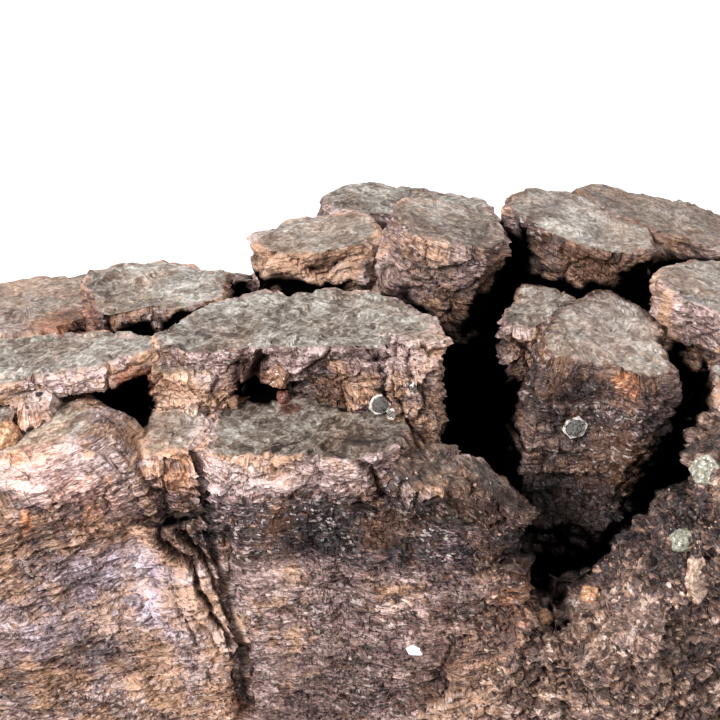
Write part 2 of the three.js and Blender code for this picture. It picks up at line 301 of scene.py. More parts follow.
# %% Cracks
Crack = namedtuple("Crack", "start end width")
CRACKS = [  # x and z of both ends, and half the width, mm in the layout
    Crack((-2.3, 39.8), (0.3, 37.2), 0.45),
    Crack((0.3, 37.2), (2.7, 32.9), 0.5),
    Crack((-24.2, 31.4), (-19.0, 25.0), 0.8),
    Crack((-19.0, 25.0), (-15.2, 15.0), 0.6),
    Crack((-20.2, 29.6), (-17.0, 25.2), 0.75),
    Crack((-17.0, 25.2), (-15.2, 20.0), 0.5),
    Crack((-17.0, 34.0), (-15.3, 22.0), 0.7),
    Crack((-15.3, 22.0), (-13.9, 13.0), 0.7),
    Crack((-13.9, 13.0), (-13.0, 2.0), 1.1),
    Crack((3.7, 48.3), (3.2, 44.9), 0.35),
    Crack((3.2, 44.9), (6.2, 37.0), 0.4),
    Crack((-36.8, 24.2), (-26.6, 27.2), 0.22),
    Crack((-36.8, 28.0), (-29.6, 30.2), 0.2),
    Crack((-25.6, 12.0), (-17.3, 14.2), 0.25),
    Crack((-20.3, 19.0), (-18.7, 14.6), 0.3),
    Crack((-17.4, 39.0), (-17.0, 33.0), 0.65),
    Crack((-11.2, 46.8), (-11.9, 43.0), 0.9),
    Crack((-11.9, 43.0), (-11.2, 39.6), 1.2),
    Crack((-13.9, 46.2), (-13.2, 41.0), 0.5),
]
CRACK_SHAPE = 2.0  # how many times deeper a crack is than half its width
CRACK_WANDER = 1.1  # how far a crack strays from its straight line, mm
CRACKED_FACE = (-6.5, -8.5)  # from where to where, back to front, the cracks fade in, mm in the layout


def cracks(spot):
    """How deep the cracks in the show face are at a place in the cluster, in mm."""
    tree = spot.tree
    x, y, z = parts_of(spot + cloudy_vector(spot, 0.45, 4.0) * CRACK_WANDER + tuple(FOOTPRINT_MIDDLE))
    flat = joined(tree, x, 0.0, z)
    deepest = None
    for crack in CRACKS:
        start = Vector((crack.start[0], 0, crack.start[1]))
        run = Vector((crack.end[0], 0, crack.end[1])) - start
        from_start = flat - tuple(start)
        share = calculate(tree, "DOT_PRODUCT", from_start, tuple(run / run.length_squared))
        nearest = calculate(tree, "MULTIPLY", tuple(run), ramp(share, 0.0, 1.0, shape="LINEAR"))
        distance = calculate(tree, "DISTANCE", from_start, nearest)
        depth = (1.0 - ramp(distance, 0.0, crack.width, shape="LINEAR")) * (crack.width * CRACK_SHAPE)
        deepest = depth if deepest is None else highest(deepest, depth)
    return deepest * ramp(y, *CRACKED_FACE)


print(len(CRACKS), "lengths of crack")

# %% [markdown]
# The side is worn. Groups of sheets break back together, and single sheets inside a group break back a
# little. Carving thousands of sheets one by one isn't possible, so this is noise which changes from
# sheet to sheet and only slowly along the rim. The top keeps low terraces where sheets flaked away.
#
# A book is also kinked: it is split into blocks, and the sheets of each lean a little another way.
# Cells give every block its own lean, and the seams between them are the edges of the cells.

# %% The worn side and the terraces
SHEET_GROUP = 1.7  # mean thickness of the sheets that broke back together, mm
SHEET = 0.42  # mean thickness of a single visible sheet, mm
PLATE = 0.28  # how thick the pieces are that flaked off the side, mm
PLATES = 11.0  # how many such pieces lie between the highest and the lowest part of a side
BLOCKS_PER_MM = 0.14  # how close together the middles of the kinked blocks are
SEAM = 0.8  # how deep the seam between two blocks is, mm
LEAN = 0.75  # how far the sheets of two kinked blocks lean apart at most, as a slope
STAND_OUT = 1.3  # how far one block stands out past the next for the same number, mm
TERRACE = 0.34  # height of a step where sheets flaked off the top, mm
TERRACES = 9.0  # how many such steps lie between the highest and the lowest part of a top
MEAN_TERRACE = 1.45  # how far below its highest sheet a top lies on average, mm


def crumbly(place):
    """Grains and lumps of broken mica, as a height in mm."""
    coarse = 0.5 - cells(place + cloudy_vector(place, 0.5) * 0.5, 0.36)
    fine = 0.5 - cells(place, 1.3)
    return coarse * 2.0 + fine * 0.8 + swing(place, 0.9, 1.4, 4.0, 0.65)


def kinked_blocks(place):
    """The blocks of a book: how each leans and stands out, at random, and the way to its edge."""
    bent = (place + cloudy_vector(place, 0.2, 3.0) * 2.4) * (1.0, 1.0, 1.5)
    return cells(bent, BLOCKS_PER_MM, "F1", "Color"), cells(bent, BLOCKS_PER_MM, "DISTANCE_TO_EDGE")


def worn_side(place, spot, crumble, blocks):
    """How far the side stands out at a place in the book's own frame, in mm, and how each block leans.

    spot is the same place in the cluster.
    """
    tree = place.tree
    x, y, z = parts_of(place)
    block, edge = kinked_blocks(place)
    lean = (block - (0.5, 0.5, 0.5)) * blocks * LEAN
    lean_x, lean_y, stand = parts_of(lean)
    z = z + x * lean_x + y * lean_y
    apart = stand * STAND_OUT - ramp(edge, 0.0, 0.07, SEAM, 0.0) * blocks
    lumps = swing(spot, 0.085, 3.0) + swing(spot, 0.3, 1.5)
    height = z + swing(place * (0.12, 0.12, 0.05), 1.0, 3.6)
    group = calculate(tree, "FLOOR", height / SHEET_GROUP + noise(place * (0.05, 0.05, 0.3), 1.0, 0.0))
    broken = ramp(noise(spot, 0.13, 1.0), 0.42, 0.6, 0.5, 1.7)
    groups = swing(joined(tree, x * 0.13, y * 0.13, group * 7.3), 1.0, broken)
    sheet = calculate(tree, "FLOOR", height / SHEET)
    sheets = swing(joined(tree, x * 0.5, y * 0.5, sheet * 5.1), 1.0, 0.45)
    thickness = noise(place * (0.26, 0.26, 0.9) + (3.0, 1.0, 8.0), 1.0, 4.0, 0.6)
    plates = (calculate(tree, "FLOOR", thickness * PLATES) - PLATES / 2) * PLATE
    chips = swing(place * (0.7, 0.7, 2.2), 1.0, 0.7, 3.0, 0.65)
    return lumps + groups + plates + sheets + chips + apart + crumbly(spot) * crumble, lean


def terraces(place, spot, crumble):
    """How far below its mean the top lies, in mm."""
    tree = place.tree
    level = noise(place * (1.0, 1.0, 0.0), 0.1, 3.0, 0.55)
    steps = calculate(tree, "FLOOR", level * TERRACES) * TERRACE - MEAN_TERRACE
    wrinkles = swing(place * (0.8, 1.0, 1.0), 0.8, 0.5, 3.0, 0.52)
    return (steps + wrinkles) * (1.0 - crumble) - crumbly(spot) * crumble


print("sheet groups of", SHEET_GROUP, "mm in sheets of", SHEET, "mm")

# %% [markdown]
# Light hardly reaches the bottom of the gaps, but shadows alone would leave them grey, so the finish
# paints shade there and has to know where the gaps are. Each point sends a few rays off the surface,
# and the share that hits another book is kept on the mesh as `shade`. The rays search the plain solid
# of the frame, which is quick. It is coarser than the worn books, so the shade is softened afterwards.

# %% The shade in the gaps
RAY_LENGTH = 26 * MM
RAY_START = 1.6 * MM  # rays start off the surface, clear of the book that they leave
FAR_HIT = 0.15  # how much a hit at the far end of a ray counts, beside one close by
SOFTENING = 7  # how many times each point's shade is averaged with its neighbours'
SPREAD = [(0, 0, 0), (0, 0, 0.8), (-0.8, 0, 0.3), (0.8, 0, 0.3), (0, -0.8, 0.3), (0, 0.8, 0.3)]


def shade_from(tree, solid, place, normal):
    """The share of rays off the surface that other books stop, nearer ones more."""
    blocked = None
    for aside in SPREAD:
        direction = calculate(tree, "NORMALIZE", normal + aside)
        inputs = {
            "Target Geometry": solid,
            "Source Position": place + normal * RAY_START,
            "Ray Direction": direction,
            "Ray Length": RAY_LENGTH,
        }
        ray = add_node(tree, "GeometryNodeRaycast", inputs)
        facing = calculate(tree, "DOT_PRODUCT", Wire(tree, ray.outputs["Hit Normal"]), direction)
        from_outside = ramp(facing, -0.01, 0.01, 1.0, 0.0, "LINEAR")
        hit_distance = Wire(tree, ray.outputs["Hit Distance"])
        nearness = ramp(hit_distance, 0.0, RAY_LENGTH, 1.0, FAR_HIT, "LINEAR")
        stopped = Wire(tree, ray.outputs["Is Hit"]) * from_outside * nearness
        blocked = stopped if blocked is None else blocked + stopped
    return blocked / len(SPREAD)


print(len(SPREAD), "rays from every point")

# %% [markdown]
# Next comes how a book is put together. Its rim is a ring of a few points. It could be a plain polygon
# or a smooth curve, but the real rims are between the two, so a place on the rim is a mix of both.

# %% The rim, and what the book tree is given
FOOT_ROWS = 5  # rows that close the foot
ANGULAR = 0.7  # how nearly straight the rim runs between its corners
FADE = 1.8  # how far in from the rim its notches reach, mm
RAGGED = 3.0  # how far the border between top and side wanders, mm
SEED_STEP = (13.7, 5.3, 31.1)  # how far apart two books lie in the noise
WELD = 0.002 * MM  # points closer than this are one point
BOOK_INPUTS = [
    ("Rim", "Geometry"),
    ("Place", "Vector"),
    ("Tilt", "Vector"),
    ("Depth", "Float", 10.0),
    ("Flare", "Float", 1.0),
    ("Rounding", "Float", 1.5),
    ("Wear", "Float", 1.0),
    ("Seed", "Float", 0.0),
    ("Columns", "Int", 100),
    ("Rows", "Int", 40),
    ("Rings", "Int", 20),
    ("Crowding", "Float", 0.6),
    ("Light", "Float", 0.0),
    ("Top light", "Float", 0.0),
    ("Warm", "Float", 0.0),
    ("Crumble", "Float", 0.0),
    ("Blocks", "Float", 0.0),
    ("Dirt", "Float", 1.0),
    ("Solids", "Object"),
    ("Finish", "Material"),
]


def rim_at(tree, rim, around):
    """The place on the rim at a share of the way round it, and the way out from it there."""
    corners = Wire(tree, add_node(tree, "GeometryNodeMeshToPoints", {0: rim}).outputs[0])
    strung = passed(corners, "GeometryNodePointsToCurves")
    closed = passed(strung, "GeometryNodeSetSplineCyclic", {"Cyclic": True})
    smooth = passed(closed, "GeometryNodeCurveSplineType", spline_type="CATMULL_ROM")
    inputs = {"Curves": smooth, "Factor": around}
    rounded = add_node(tree, "GeometryNodeSampleCurve", inputs, mode="FACTOR")
    inputs = {"Curves": closed, "Factor": around}
    straight = add_node(tree, "GeometryNodeSampleCurve", inputs, mode="FACTOR")
    on_rim = Wire(tree, rounded.outputs["Position"]) * (1.0 - ANGULAR)
    on_rim = on_rim + Wire(tree, straight.outputs["Position"]) * ANGULAR
    along = parts_of(Wire(tree, rounded.outputs["Tangent"]))
    return on_rim, joined(tree, along[1], along[0] * -1.0, 0.0)


def bent_with_neighbours(placed):
    """The place after the whole cluster has bent a little, and after the cut at the ground."""
    bent = placed + cloudy_vector(placed, 0.055) + cloudy_vector(placed, 0.19) * 0.5
    x, y, z = parts_of(bent)
    return joined(placed.tree, x, y, highest(z, 0.0))


def captured(geometry, kept):
    """The geometry and, frozen on it, the values as they are now: (title, data type, value)."""
    node = add_node(geometry.tree, "GeometryNodeCaptureAttribute", {"Geometry": geometry})
    for title, data_type, _ in kept:
        node.capture_items.new(data_type.replace("FLOAT_", ""), title)
    for number, (_, _, value) in enumerate(kept, start=1):
        plug(geometry.tree, value, node.inputs[number])
    wires = [Wire(geometry.tree, socket) for socket in node.outputs]
    return wires[0], [(title, data_type, wire) for (title, data_type, _), wire in zip(kept, wires[1:])]


print("a book has", len(BOOK_INPUTS), "inputs")

# %% [markdown]
# The tree starts from an open tube, because a tube already has rows and columns. Every point of it is
# sent to its own place on the book. The values that the finish needs are frozen just before that,
# because they are worked out from where the points were on the tube.

# %% The tree of one book
def add_book_tree():
    tree, given = new_tree("Mica book", "GeometryNodeTree", BOOK_INPUTS, [("Book", "Geometry")])
    rows_in_all = given["Rows"] + given["Rings"] + FOOT_ROWS
    inputs = {"Vertices": given["Columns"], "Side Segments": rows_in_all, "Radius": 1.0, "Depth": 1.0}
    tube = add_node(tree, "GeometryNodeMeshCylinder", inputs, fill_type="NONE")
    position, normal = place_and_normal(tree)
    x, y, z = parts_of(position)

    # Where each point of the tube belongs: how far round the rim, down the side and in from the rim.
    around = calculate(tree, "FRACT", calculate(tree, "ARCTAN2", y, x) / math.tau + 1.0)
    crowd = given["Crowding"] / math.tau * calculate(tree, "SINE", around * math.tau)
    row = (z + 0.5) * rows_in_all
    foot = ramp(row, 0.0, FOOT_ROWS, shape="LINEAR")
    down = 1.0 - ramp(row, FOOT_ROWS, given["Rows"] + FOOT_ROWS, shape="LINEAR")
    top = ramp(row, given["Rows"] + FOOT_ROWS, rows_in_all, shape="LINEAR")
    out = lowest(foot, 1.0 - top)
    on_rim, outward = rim_at(tree, given["Rim"], around - crowd)

    def turned(vector):
        inputs = {"Vector": vector, "Rotation": given["Tilt"]}
        node = add_node(tree, "ShaderNodeVectorRotate", inputs, rotation_type="EULER_XYZ")
        return Wire(tree, node.outputs[0])

    # The side, worn, and the sheets drawn in from it.
    spread = on_rim * (1.0 + (given["Flare"] - 1.0) * down)
    from_rim = calculate(tree, "LENGTH", on_rim) * (1.0 - out)
    side = spread + joined(tree, 0.0, 0.0, from_rim - down * given["Depth"])
    shift = joined(tree, *(given["Seed"] * step for step in SEED_STEP))
    spot = given["Place"] + turned(side)
    split = cracks(spot)
    stands, lean = worn_side(side + shift, spot, given["Crumble"], given["Blocks"])
    relief = stands * given["Wear"] - split
    flat = spread * out + outward * (relief * ramp(from_rim, 0.0, FADE, 1.0, 0.0))

    # The top sheet: its rounded edge and its terraces.
    edge = 1.0 - ramp(from_rim, 0.0, given["Rounding"], shape="LINEAR")
    rounding = given["Rounding"] * (1.0 - calculate(tree, "SQRT", 1.0 - edge * edge))
    spot_above = given["Place"] + turned(flat)
    dip = terraces(flat + shift, spot_above, given["Crumble"]) * given["Wear"]
    crown = (rounding + dip) * -1.0
    upright = parts_of(turned((0.0, 0.0, 1.0)))[2]
    above_ground = parts_of(spot_above)[2] / upright
    reach = lowest(given["Depth"], above_ground)
    shaped = flat + joined(tree, 0.0, 0.0, crown * (1.0 - down) - reach * down)

    # What the finish needs to know: the place in the book, the wear, the top sheet and the depth.
    uneven = swing(side + shift, 0.45, RAGGED, 4.0, 0.65)
    inside_edge = ramp(from_rim + uneven, given["Rounding"] * 0.5, given["Rounding"] + 0.7)
    on_top = inside_edge * ramp(top, 0.0, 0.02)
    light = given["Light"] * (1.0 - on_top) + given["Top light"] * on_top
    kept = [
        ("sheets", "FLOAT_VECTOR", shaped + shift),
        ("relief", "FLOAT", relief),
        ("below", "FLOAT", reach * down),
        ("top", "FLOAT", on_top),
        ("look", "FLOAT_VECTOR", joined(tree, light, given["Warm"], given["Crumble"])),
        ("crack", "FLOAT", split),
        ("lean", "FLOAT_VECTOR", lean),
    ]
    geometry, frozen = captured(Wire(tree, tube.outputs["Mesh"]), kept)
    standing = bent_with_neighbours(given["Place"] + turned(shaped)) * MM
    geometry = passed(geometry, "GeometryNodeSetPosition", {"Position": standing})
    geometry = passed(geometry, "GeometryNodeMergeByDistance", {"Distance": WELD})
    shade = shade_from(tree, shape_of(tree, given["Solids"]), position, normal) * given["Dirt"]
    inputs = {"Value": shade, "Iterations": SOFTENING}
    softened = add_node(tree, "GeometryNodeBlurAttribute", inputs, data_type="FLOAT")
    frozen.append(("shade", "FLOAT", output_in_use(tree, softened)))
    for title, data_type, value in frozen:
        geometry = stored(geometry, title, value, data_type)
    finish_tree(tree, Book=finished(geometry, given["Finish"]))
    return tree


book_tree = add_book_tree()
print("the book tree has", len(book_tree.nodes), "nodes")

# %% [markdown]
# ## The books
#
# Each book is a few numbers: the middle of its top sheet, how far that sheet leans to the front and to
# the right, how thick the book is, how much wider its foot is, and the corners of its rim. They are the
# same numbers as the plain solids of the frame, so that every book lies where its solid does.

# %% The table of books
Book = namedtuple("Book", "place tilt depth flare rim")
BOOKS = {
    # The front of the cluster.
    "front": Book((0, -13.8, 31.8), (5, 2), 37, 1.05,
        [(0, -4.2), (8, -5), (13.6, -4.8), (17.4, -3.4), (18, 2), (14, 6), (8, 10), (2, 20), (-12, 19),
         (-17, 8), (-16.4, -0.8), (-8, -2.6)]),
    "front_ledge": Book((-5.6, -13.4, 38.8), (17, 0), 9.5, 1.1,
        [(-5, -4.2), (0, -4.6), (6, -5), (9, -3.4), (11.4, -0.4), (11, 8), (3, 11), (-6, 11), (-11, 7),
         (-10.8, -2.4), (-9, -4)]),
    "front_shelf": Book((7.4, -15, 36.1), (12, 10), 7, 1.05,
        [(-1, -4.4), (2.4, -4), (5, -3.4), (5.6, 0), (4, 5), (-3, 5), (-5, 0), (-4.4, -4)]),
    "front_right_end": Book((15.4, -14.8, 33.6), (4, 34), 10, 1.0,
        [(0, -3.9), (3.6, -3.2), (5.2, 0.4), (3.6, 3.2), (-1, 4), (-5, 3.4), (-6, -1), (-3.6, -3.8)]),
    "front_right_foot": Book((13.4, -14.2, 26.6), (3, 6), 28, 1.2,
        [(0, -4.8), (4.8, -4), (5.6, 0), (3, 5), (-3, 6), (-7, 3), (-8, -2), (-4, -4.4)]),
    "front_left_end": Book((-21, -13.2, 38.8), (14, -8), 12, 1.0,
        [(0, -4), (3.4, -3.4), (5.4, 3), (2, 8), (-3, 7), (-4.2, 2), (-3.8, -3)]),
    "left_front": Book((-38.4, -11.6, 38), (9, -22), 48, 1.04,
        [(0, -7.6), (7, -7.4), (12, -6.4), (13.6, -1), (11.4, 3), (9, 8), (2, 12), (-10, 11), (-18, 4),
         (-16, -6), (-8, -8)]),
    # The raised middle of the cluster.
    "upper_plate": Book((-6, -2, 48.3), (7, 0), 4, 0.98,
        [(-2, -7.5), (3, -8), (8.6, -7.8), (12, -5.8), (14.8, -2), (14.6, 2), (9, 6.5), (3, 9),
         (-6, 8), (-13, 5), (-18, -2), (-16, -6), (-9, -6.6)]),
    "upper_left": Book((-19.2, -4, 45.4), (6, -3), 13, 1.02,
        [(0, -5.5), (5.4, -4.8), (6, -1), (5, 6), (0, 8), (-5, 5), (-6, -1), (-4, -5)]),
    "upper_middle": Book((-3, -1.4, 46.2), (6, 2), 13, 1.0,
        [(0, -7.8), (5, -8.2), (6.8, -5), (7.5, 4), (2, 8), (-7, 7), (-8.6, 3), (-5.4, -2), (-5, -7)]),
    "upper_right_end": Book((6.8, -4.6, 47.4), (-12, 3), 22, 1.2,
        [(0.4, -5), (2.6, -3.6), (3, 0), (2.4, 5), (0, 8), (-4, 8), (-4, 1), (-3.4, -5)]),
    "left_shelf": Book((-34, -2.4, 45.4), (8, -10), 3, 1.0,
        [(-1, -6.4), (5, -6.2), (11, -5), (14, -1.5), (9, 1), (4, 3), (-6, 4), (-14, 3), (-17, -2),
         (-14, -7), (-7, -7.4)]),
    "left_under": Book((-38, -0.5, 42.4), (6, -10), 16, 1.1,
        [(0, -6.4), (6, -5.6), (8.6, -1), (14, 5), (0, 9), (-8, 6), (-11, 0), (-8, -6)]),
    "left_knob": Book((-37.2, -8.4, 42.2), (24, -8), 7, 1.1,
        [(0, -3), (2.2, -2.4), (3, 0), (2.4, 2.6), (0, 3.2), (-2.6, 2), (-3.2, -0.4), (-2, -2.6)]),
    # The back row.
    "rear_left_slab": Book((-25, 10, 48.4), (6, -4), 9, 0.97,
        [(-1, -8), (5, -6.5), (9, -4), (10, 4), (6, 8), (-3, 8), (-9, 5), (-8, -4), (-6, -9)]),
    "rear_left_low": Book((-41, 12, 45.4), (5, -3), 16, 1.03,
        [(0, -9), (7, -7), (10, 0), (8, 8), (0, 11), (-9, 8), (-12, 0), (-7, -8)]),
    "rear_left_book": Book((-5.6, 16.5, 53.2), (8, -5), 15, 1.06,
        [(0, -5), (6, -4.5), (8.4, 0), (7, 6), (0, 7.5), (-5, 6), (-8, 0), (-5.4, -4)]),
    "rear_middle_book": Book((10.6, 13.5, 55.4), (8, 13), 12, 1.0,
        [(0, -5.6), (5, -5), (8, 0), (6.4, 5), (1, 8), (-5, 6), (-7.4, 0), (-5, -5)]),
    "rear_top_plate": Book((5.5, 27, 54.6), (6, 4), 14, 1.05,
        [(0, -6), (8, -6), (12.5, -2), (11, 5), (2, 8), (-6, 7), (-11, 2), (-9, -4)]),
    "rear_right_book": Book((27.5, 19.6, 54.3), (9, 11), 11, 0.97,
        [(0, -7.5), (5, -8), (9.6, -4), (10, 3), (5, 8), (-3, 9), (-8, 6), (-10, 0), (-6, -4.6)]),
    "far_right_slope": Book((41, 28, 52.4), (5, 15), 48, 0.92,
        [(0, -8), (9, -7), (14, -1), (12, 7), (1, 9), (-9, 8), (-14, 2), (-9, -6)]),
    # The right-hand side.
    "right_book": Book((28.2, 0.5, 46.4), (12, 9), 40, 1.14,
        [(0, -8.6), (4, -10.6), (8.4, -8), (7.2, -2.5), (8, 2), (6, 7), (2, 10.6), (-3, 8), (-6.4, 3),
         (-8.6, -5), (-7, -10)]),
    "small_book": Book((20.5, 6, 47.6), (9, 0), 8, 0.85,
        [(-1, -7), (2.5, -4), (5.5, 2), (3, 6), (-1, 5.4), (-4, 0), (-4.6, -5)]),
    "right_end_book": Book((43, 8, 49.4), (8, 9), 15, 0.94,
        [(0, -8), (7, -8), (12, -2), (10, 6), (2, 9), (-4, 7), (-8, 1), (-6, -5)]),
    "right_mound_low": Book((26.4, -16, 19.4), (22, -36), 26, 1.1,
        [(0, -6.4), (5, -6), (8, -1), (6, 5), (0, 6), (-5, 4.6), (-7.4, -1), (-5, -5.6)]),
    "right_mound_foot": Book((22, -13.8, 17.6), (12, -18), 18, 1.1,
        [(0, -5.6), (6, -5), (9, 0), (6, 6), (-4, 6), (-8, 2), (-8, -3), (-4, -5.4)]),
    "right_mound_middle": Book((33, -13.6, 25.6), (20, -38), 36, 1.06,
        [(0, -7.6), (5, -7), (8, 0), (6, 6), (0, 6.6), (-5, 4), (-7, -3), (-4, -7)]),
    "right_mound_step": Book((38.4, -12.5, 31.4), (14, -30), 40, 1.04,
        [(0, -8), (4, -7.4), (7, 0), (5, 6), (0, 7), (-5, 5), (-6, -2), (-4, -7.4)]),
    "right_mound_high": Book((45, -9, 38), (6, -9), 46, 1.08,
        [(0, -10), (8, -9), (13, -2), (11, 7), (2, 8), (-5, 6), (-9, -1), (-7, -8)]),
    # The roots that the fissures run down to.
    "left_root": Book((-22, 7, 35), (0, -6), 38, 1.02,
        [(0, -15), (14, -15), (29, -14), (30, 4), (28, 16), (6, 22), (-14, 18), (-26, 8), (-26, -6),
         (-14, -14)]),
    "right_root": Book((38, 7, 15), (0, 0), 19, 1.02,
        [(0, -18), (10, -18), (18, -8), (16, 12), (6, 22), (-8, 24), (-18, 16), (-20, -2), (-18, -12),
         (-10, -18)]),
    "front_root": Book((18, -6, 11), (0, 0), 14, 1.0,
        [(0, -10), (12, -10), (18, -4), (12, 20), (-14, 22), (-16, 4), (-12, -10)]),
    "rear_root": Book((2, 23, 42), (3, 2), 46, 1.03,
        [(0, -13), (14, -12.4), (30, -12), (42, -8), (48, 0), (42, 9), (16, 11), (-18, 11), (-40, 8),
         (-48, -2), (-34, -12), (-14, -13)]),
    # The back and the ends.
    "back_left_book": Book((-27, 27, 42.6), (-7, -10), 48, 1.08,
        [(0, -9), (10, -8), (13, 0), (9, 9), (0, 11), (-11, 8), (-15, 0), (-10, -8)]),
    "back_middle_book": Book((-1, 30, 49.4), (-8, 2), 52, 1.1,
        [(0, -9), (9, -8), (12, 0), (9, 7.6), (0, 9.4), (-9, 7), (-13, 0), (-9, -8)]),
    "back_right_book": Book((25, 30, 47), (-9, 9), 50, 1.08,
        [(0, -9), (11, -8), (15, 0), (10, 8), (0, 9.6), (-10, 8), (-13, 0), (-10, -8)]),
    "left_end_book": Book((-47, 0, 38), (3, -17), 42, 1.0,
        [(0, -13), (8, -12), (10, 0), (9, 13), (0, 16), (-8, 11), (-11, 1), (-8, -9)]),
    "right_end_mass": Book((50, 6, 40), (2, 12), 46, 1.04,
        [(0, -14), (6, -10), (9, 0), (7, 12), (0, 18), (-9, 14), (-10, 0), (-8, -12)]),
    # What closes the front between the larger books.
    "front_left_foot": Book((-20.2, -14, 30.4), (10, -10), 31, 1.06,
        [(0, -4.4), (3, -3.4), (6.6, 0.8), (6, 6), (2, 8), (-3, 7), (-5.4, 2), (-5.6, -2.6), (-3, -4.6)]),
    "right_apron": Book((16.8, -16, 21.2), (12, -5), 22, 1.16,
        [(0, -4.4), (2, -3.6), (2.4, 0), (1, 4), (-3, 4), (-5, 1), (-5.2, -2.4), (-3, -4)]),
}
print(len(BOOKS), "books")

# %% [markdown]
# ## The finish of the books
#
# Fresh phlogopite is clear brown, and this specimen is weathered. Its top sheets are grey-green and
# satin, with dust in the wrinkles. The side shows thousands of sheet edges, so its colour changes from
# sheet to sheet: purplish black, brown, tan and nearly white where an edge splits and catches the
# light. Iron has stained patches of it orange. A picture of a real wall would show all that, but only
# on one side. Noise that is stretched along the sheets gives it all the way round, and it turns with
# each book because it reads the place that the book tree kept on the mesh.

# %% Shader helpers
MICA_IOR = 1.58
SATIN = 0.3  # how strongly weathered mica reflects, where 0.5 is clean mica


def new_material(name):
    material = bpy.data.materials.new(name)
    material.use_nodes = True
    tree = material.node_tree
    tree.nodes.clear()
    shader = tree.nodes.new("ShaderNodeBsdfPrincipled")
    output = tree.nodes.new("ShaderNodeOutputMaterial")
    tree.links.new(shader.outputs[0], output.inputs[0])
    return material, tree, shader


def make_satin(shader):
    shader.inputs["IOR"].default_value = MICA_IOR
    shader.inputs["Specular IOR Level"].default_value = SATIN


def spot_of(tree):
    """The place in the cluster, in mm."""
    return Wire(tree, add_node(tree, "ShaderNodeTexCoord").outputs["Object"]) * (1 / MM)


def kept_value(tree, name, output="Fac"):
    """A value that the book tree kept on the mesh."""
    node = add_node(tree, "ShaderNodeAttribute", attribute_name=name, attribute_type="GEOMETRY")
    return Wire(tree, node.outputs[output])


def palette(value, *stops):
    """A colour for a number, from stops of (position, colour)."""
    node = add_node(value.tree, "ShaderNodeValToRGB", {0: value})
    ramp_stops = node.color_ramp.elements
    while len(ramp_stops) < len(stops):
        ramp_stops.new(0.5)
    for element, (position, colour) in zip(ramp_stops, stops):
        element.position = position
        element.color = (*colour, 1.0)
    return Wire(value.tree, node.outputs[0])


def blended(share, low, high, mode="MIX"):
    """A colour between two others."""
    tree = share.tree
    node = add_node(tree, "ShaderNodeMix", data_type="RGBA", blend_type=mode)
    for socket, value in ((node.inputs[0], share), (node.inputs[6], low), (node.inputs[7], high)):
        if isinstance(value, tuple):
            value = (*value, 1.0)
        plug(tree, value, socket)
    return Wire(tree, node.outputs[2])


def use_group(group, place, *values):
    """Places a shader group and feeds its inputs in their order. Gives its outputs by name."""
    tree = place.tree
    node = tree.nodes.new("ShaderNodeGroup")
    node.node_tree = group
    for socket, value in zip(node.inputs, (place, *values)):
        plug(tree, value, socket)
    return {socket.name: Wire(tree, socket) for socket in node.outputs}


print("shader helpers are ready")

# %% [markdown]
# Mica glitters because each flake is a mirror of its own, turned a little from its neighbours. Real
# flakes that small would be millions of faces. A pattern of cells gives every flake a random turn
# instead, and that turn is added to the surface's normal. The books and the small crystals both use
# it, so it is a group.
#
# The painted shade is a second group. It is darkest where the shade from the rays is deep, and it also
# darkens the hollows.

# %% Glitter and dirt
def add_glitter_group():
    inputs = [("Place", "Vector"), ("Flakes per mm", "Float", 2.0), ("Turn", "Float", 0.4)]
    outputs = [("Normal", "Vector"), ("Flake", "Float")]
    tree, given = new_tree("Mica glitter", "ShaderNodeTree", inputs, outputs)
    flake = cells(given["Place"], given["Flakes per mm"], "F1", "Color")
    surface = Wire(tree, add_node(tree, "ShaderNodeNewGeometry").outputs["Normal"])
    turned = surface + (flake - (0.5, 0.5, 0.5)) * given["Turn"]
    finish_tree(tree, Normal=calculate(tree, "NORMALIZE", turned), Flake=parts_of(flake)[0])
    return tree


GAP = (0.22, 0.48)  # the shade from the rays where painted shade begins, and where nothing else is seen
HOLLOW = (0.2, -1.6)  # the same for painted shade in hollows, by how far the side stands out, mm


def add_gap_group():
    """Painted shade: black in the gaps by a share from the rays, and darker hollows by how far the side
    is worn back.
    """
    inputs = [("Place", "Vector"), ("Shade", "Float", 0.0), ("Relief", "Float", 0.0)]
    tree, given = new_tree("Painted gap shade", "ShaderNodeTree", inputs, [("Gap", "Float"), ("Hollow", "Float")])
    uneven = swing(given["Place"], 0.35, 0.12)
    gap = ramp(given["Shade"] + uneven, *GAP)
    hollow = ramp(given["Relief"] + uneven * 4.0, *HOLLOW)
    finish_tree(tree, Gap=gap, Hollow=hollow)
    return tree


glitter = add_glitter_group()
gap_shade = add_gap_group()
print("groups:", glitter.name, "and", gap_shade.name)

# %% [markdown]
# The edges of the sheets show as short wavy lines, like fish scales. Noise has such lines in it: they
# run where it passes through its middle value. Stretched along the sheets they are edges, and unstretched
# on a top sheet they are the rims of thin flakes.

# %% Edges of sheets
def add_edges_group():
    inputs = [("Place", "Vector"), ("Flakes per mm", "Float", 1.0), ("Thinness", "Float", 4.0)]
    outputs = [("Edge", "Float"), ("Layer", "Float")]
    tree, given = new_tree("Sheet edges", "ShaderNodeTree", inputs, outputs)
    stretched = given["Place"] * joined(tree, 1.0, 1.0, given["Thinness"])
    bent = stretched + cloudy_vector(given["Place"] * (0.5, 0.5, 1.2), 1.0, 1.0) * 0.55
    layer = noise(bent * given["Flakes per mm"], 1.0, 2.0, 0.6)
    edge = 1.0 - ramp(calculate(tree, "ABSOLUTE", layer - 0.5), 0.0, 0.09)
    finish_tree(tree, Edge=edge, Layer=layer)
    return tree


sheet_edges = add_edges_group()
print("group:", sheet_edges.name)
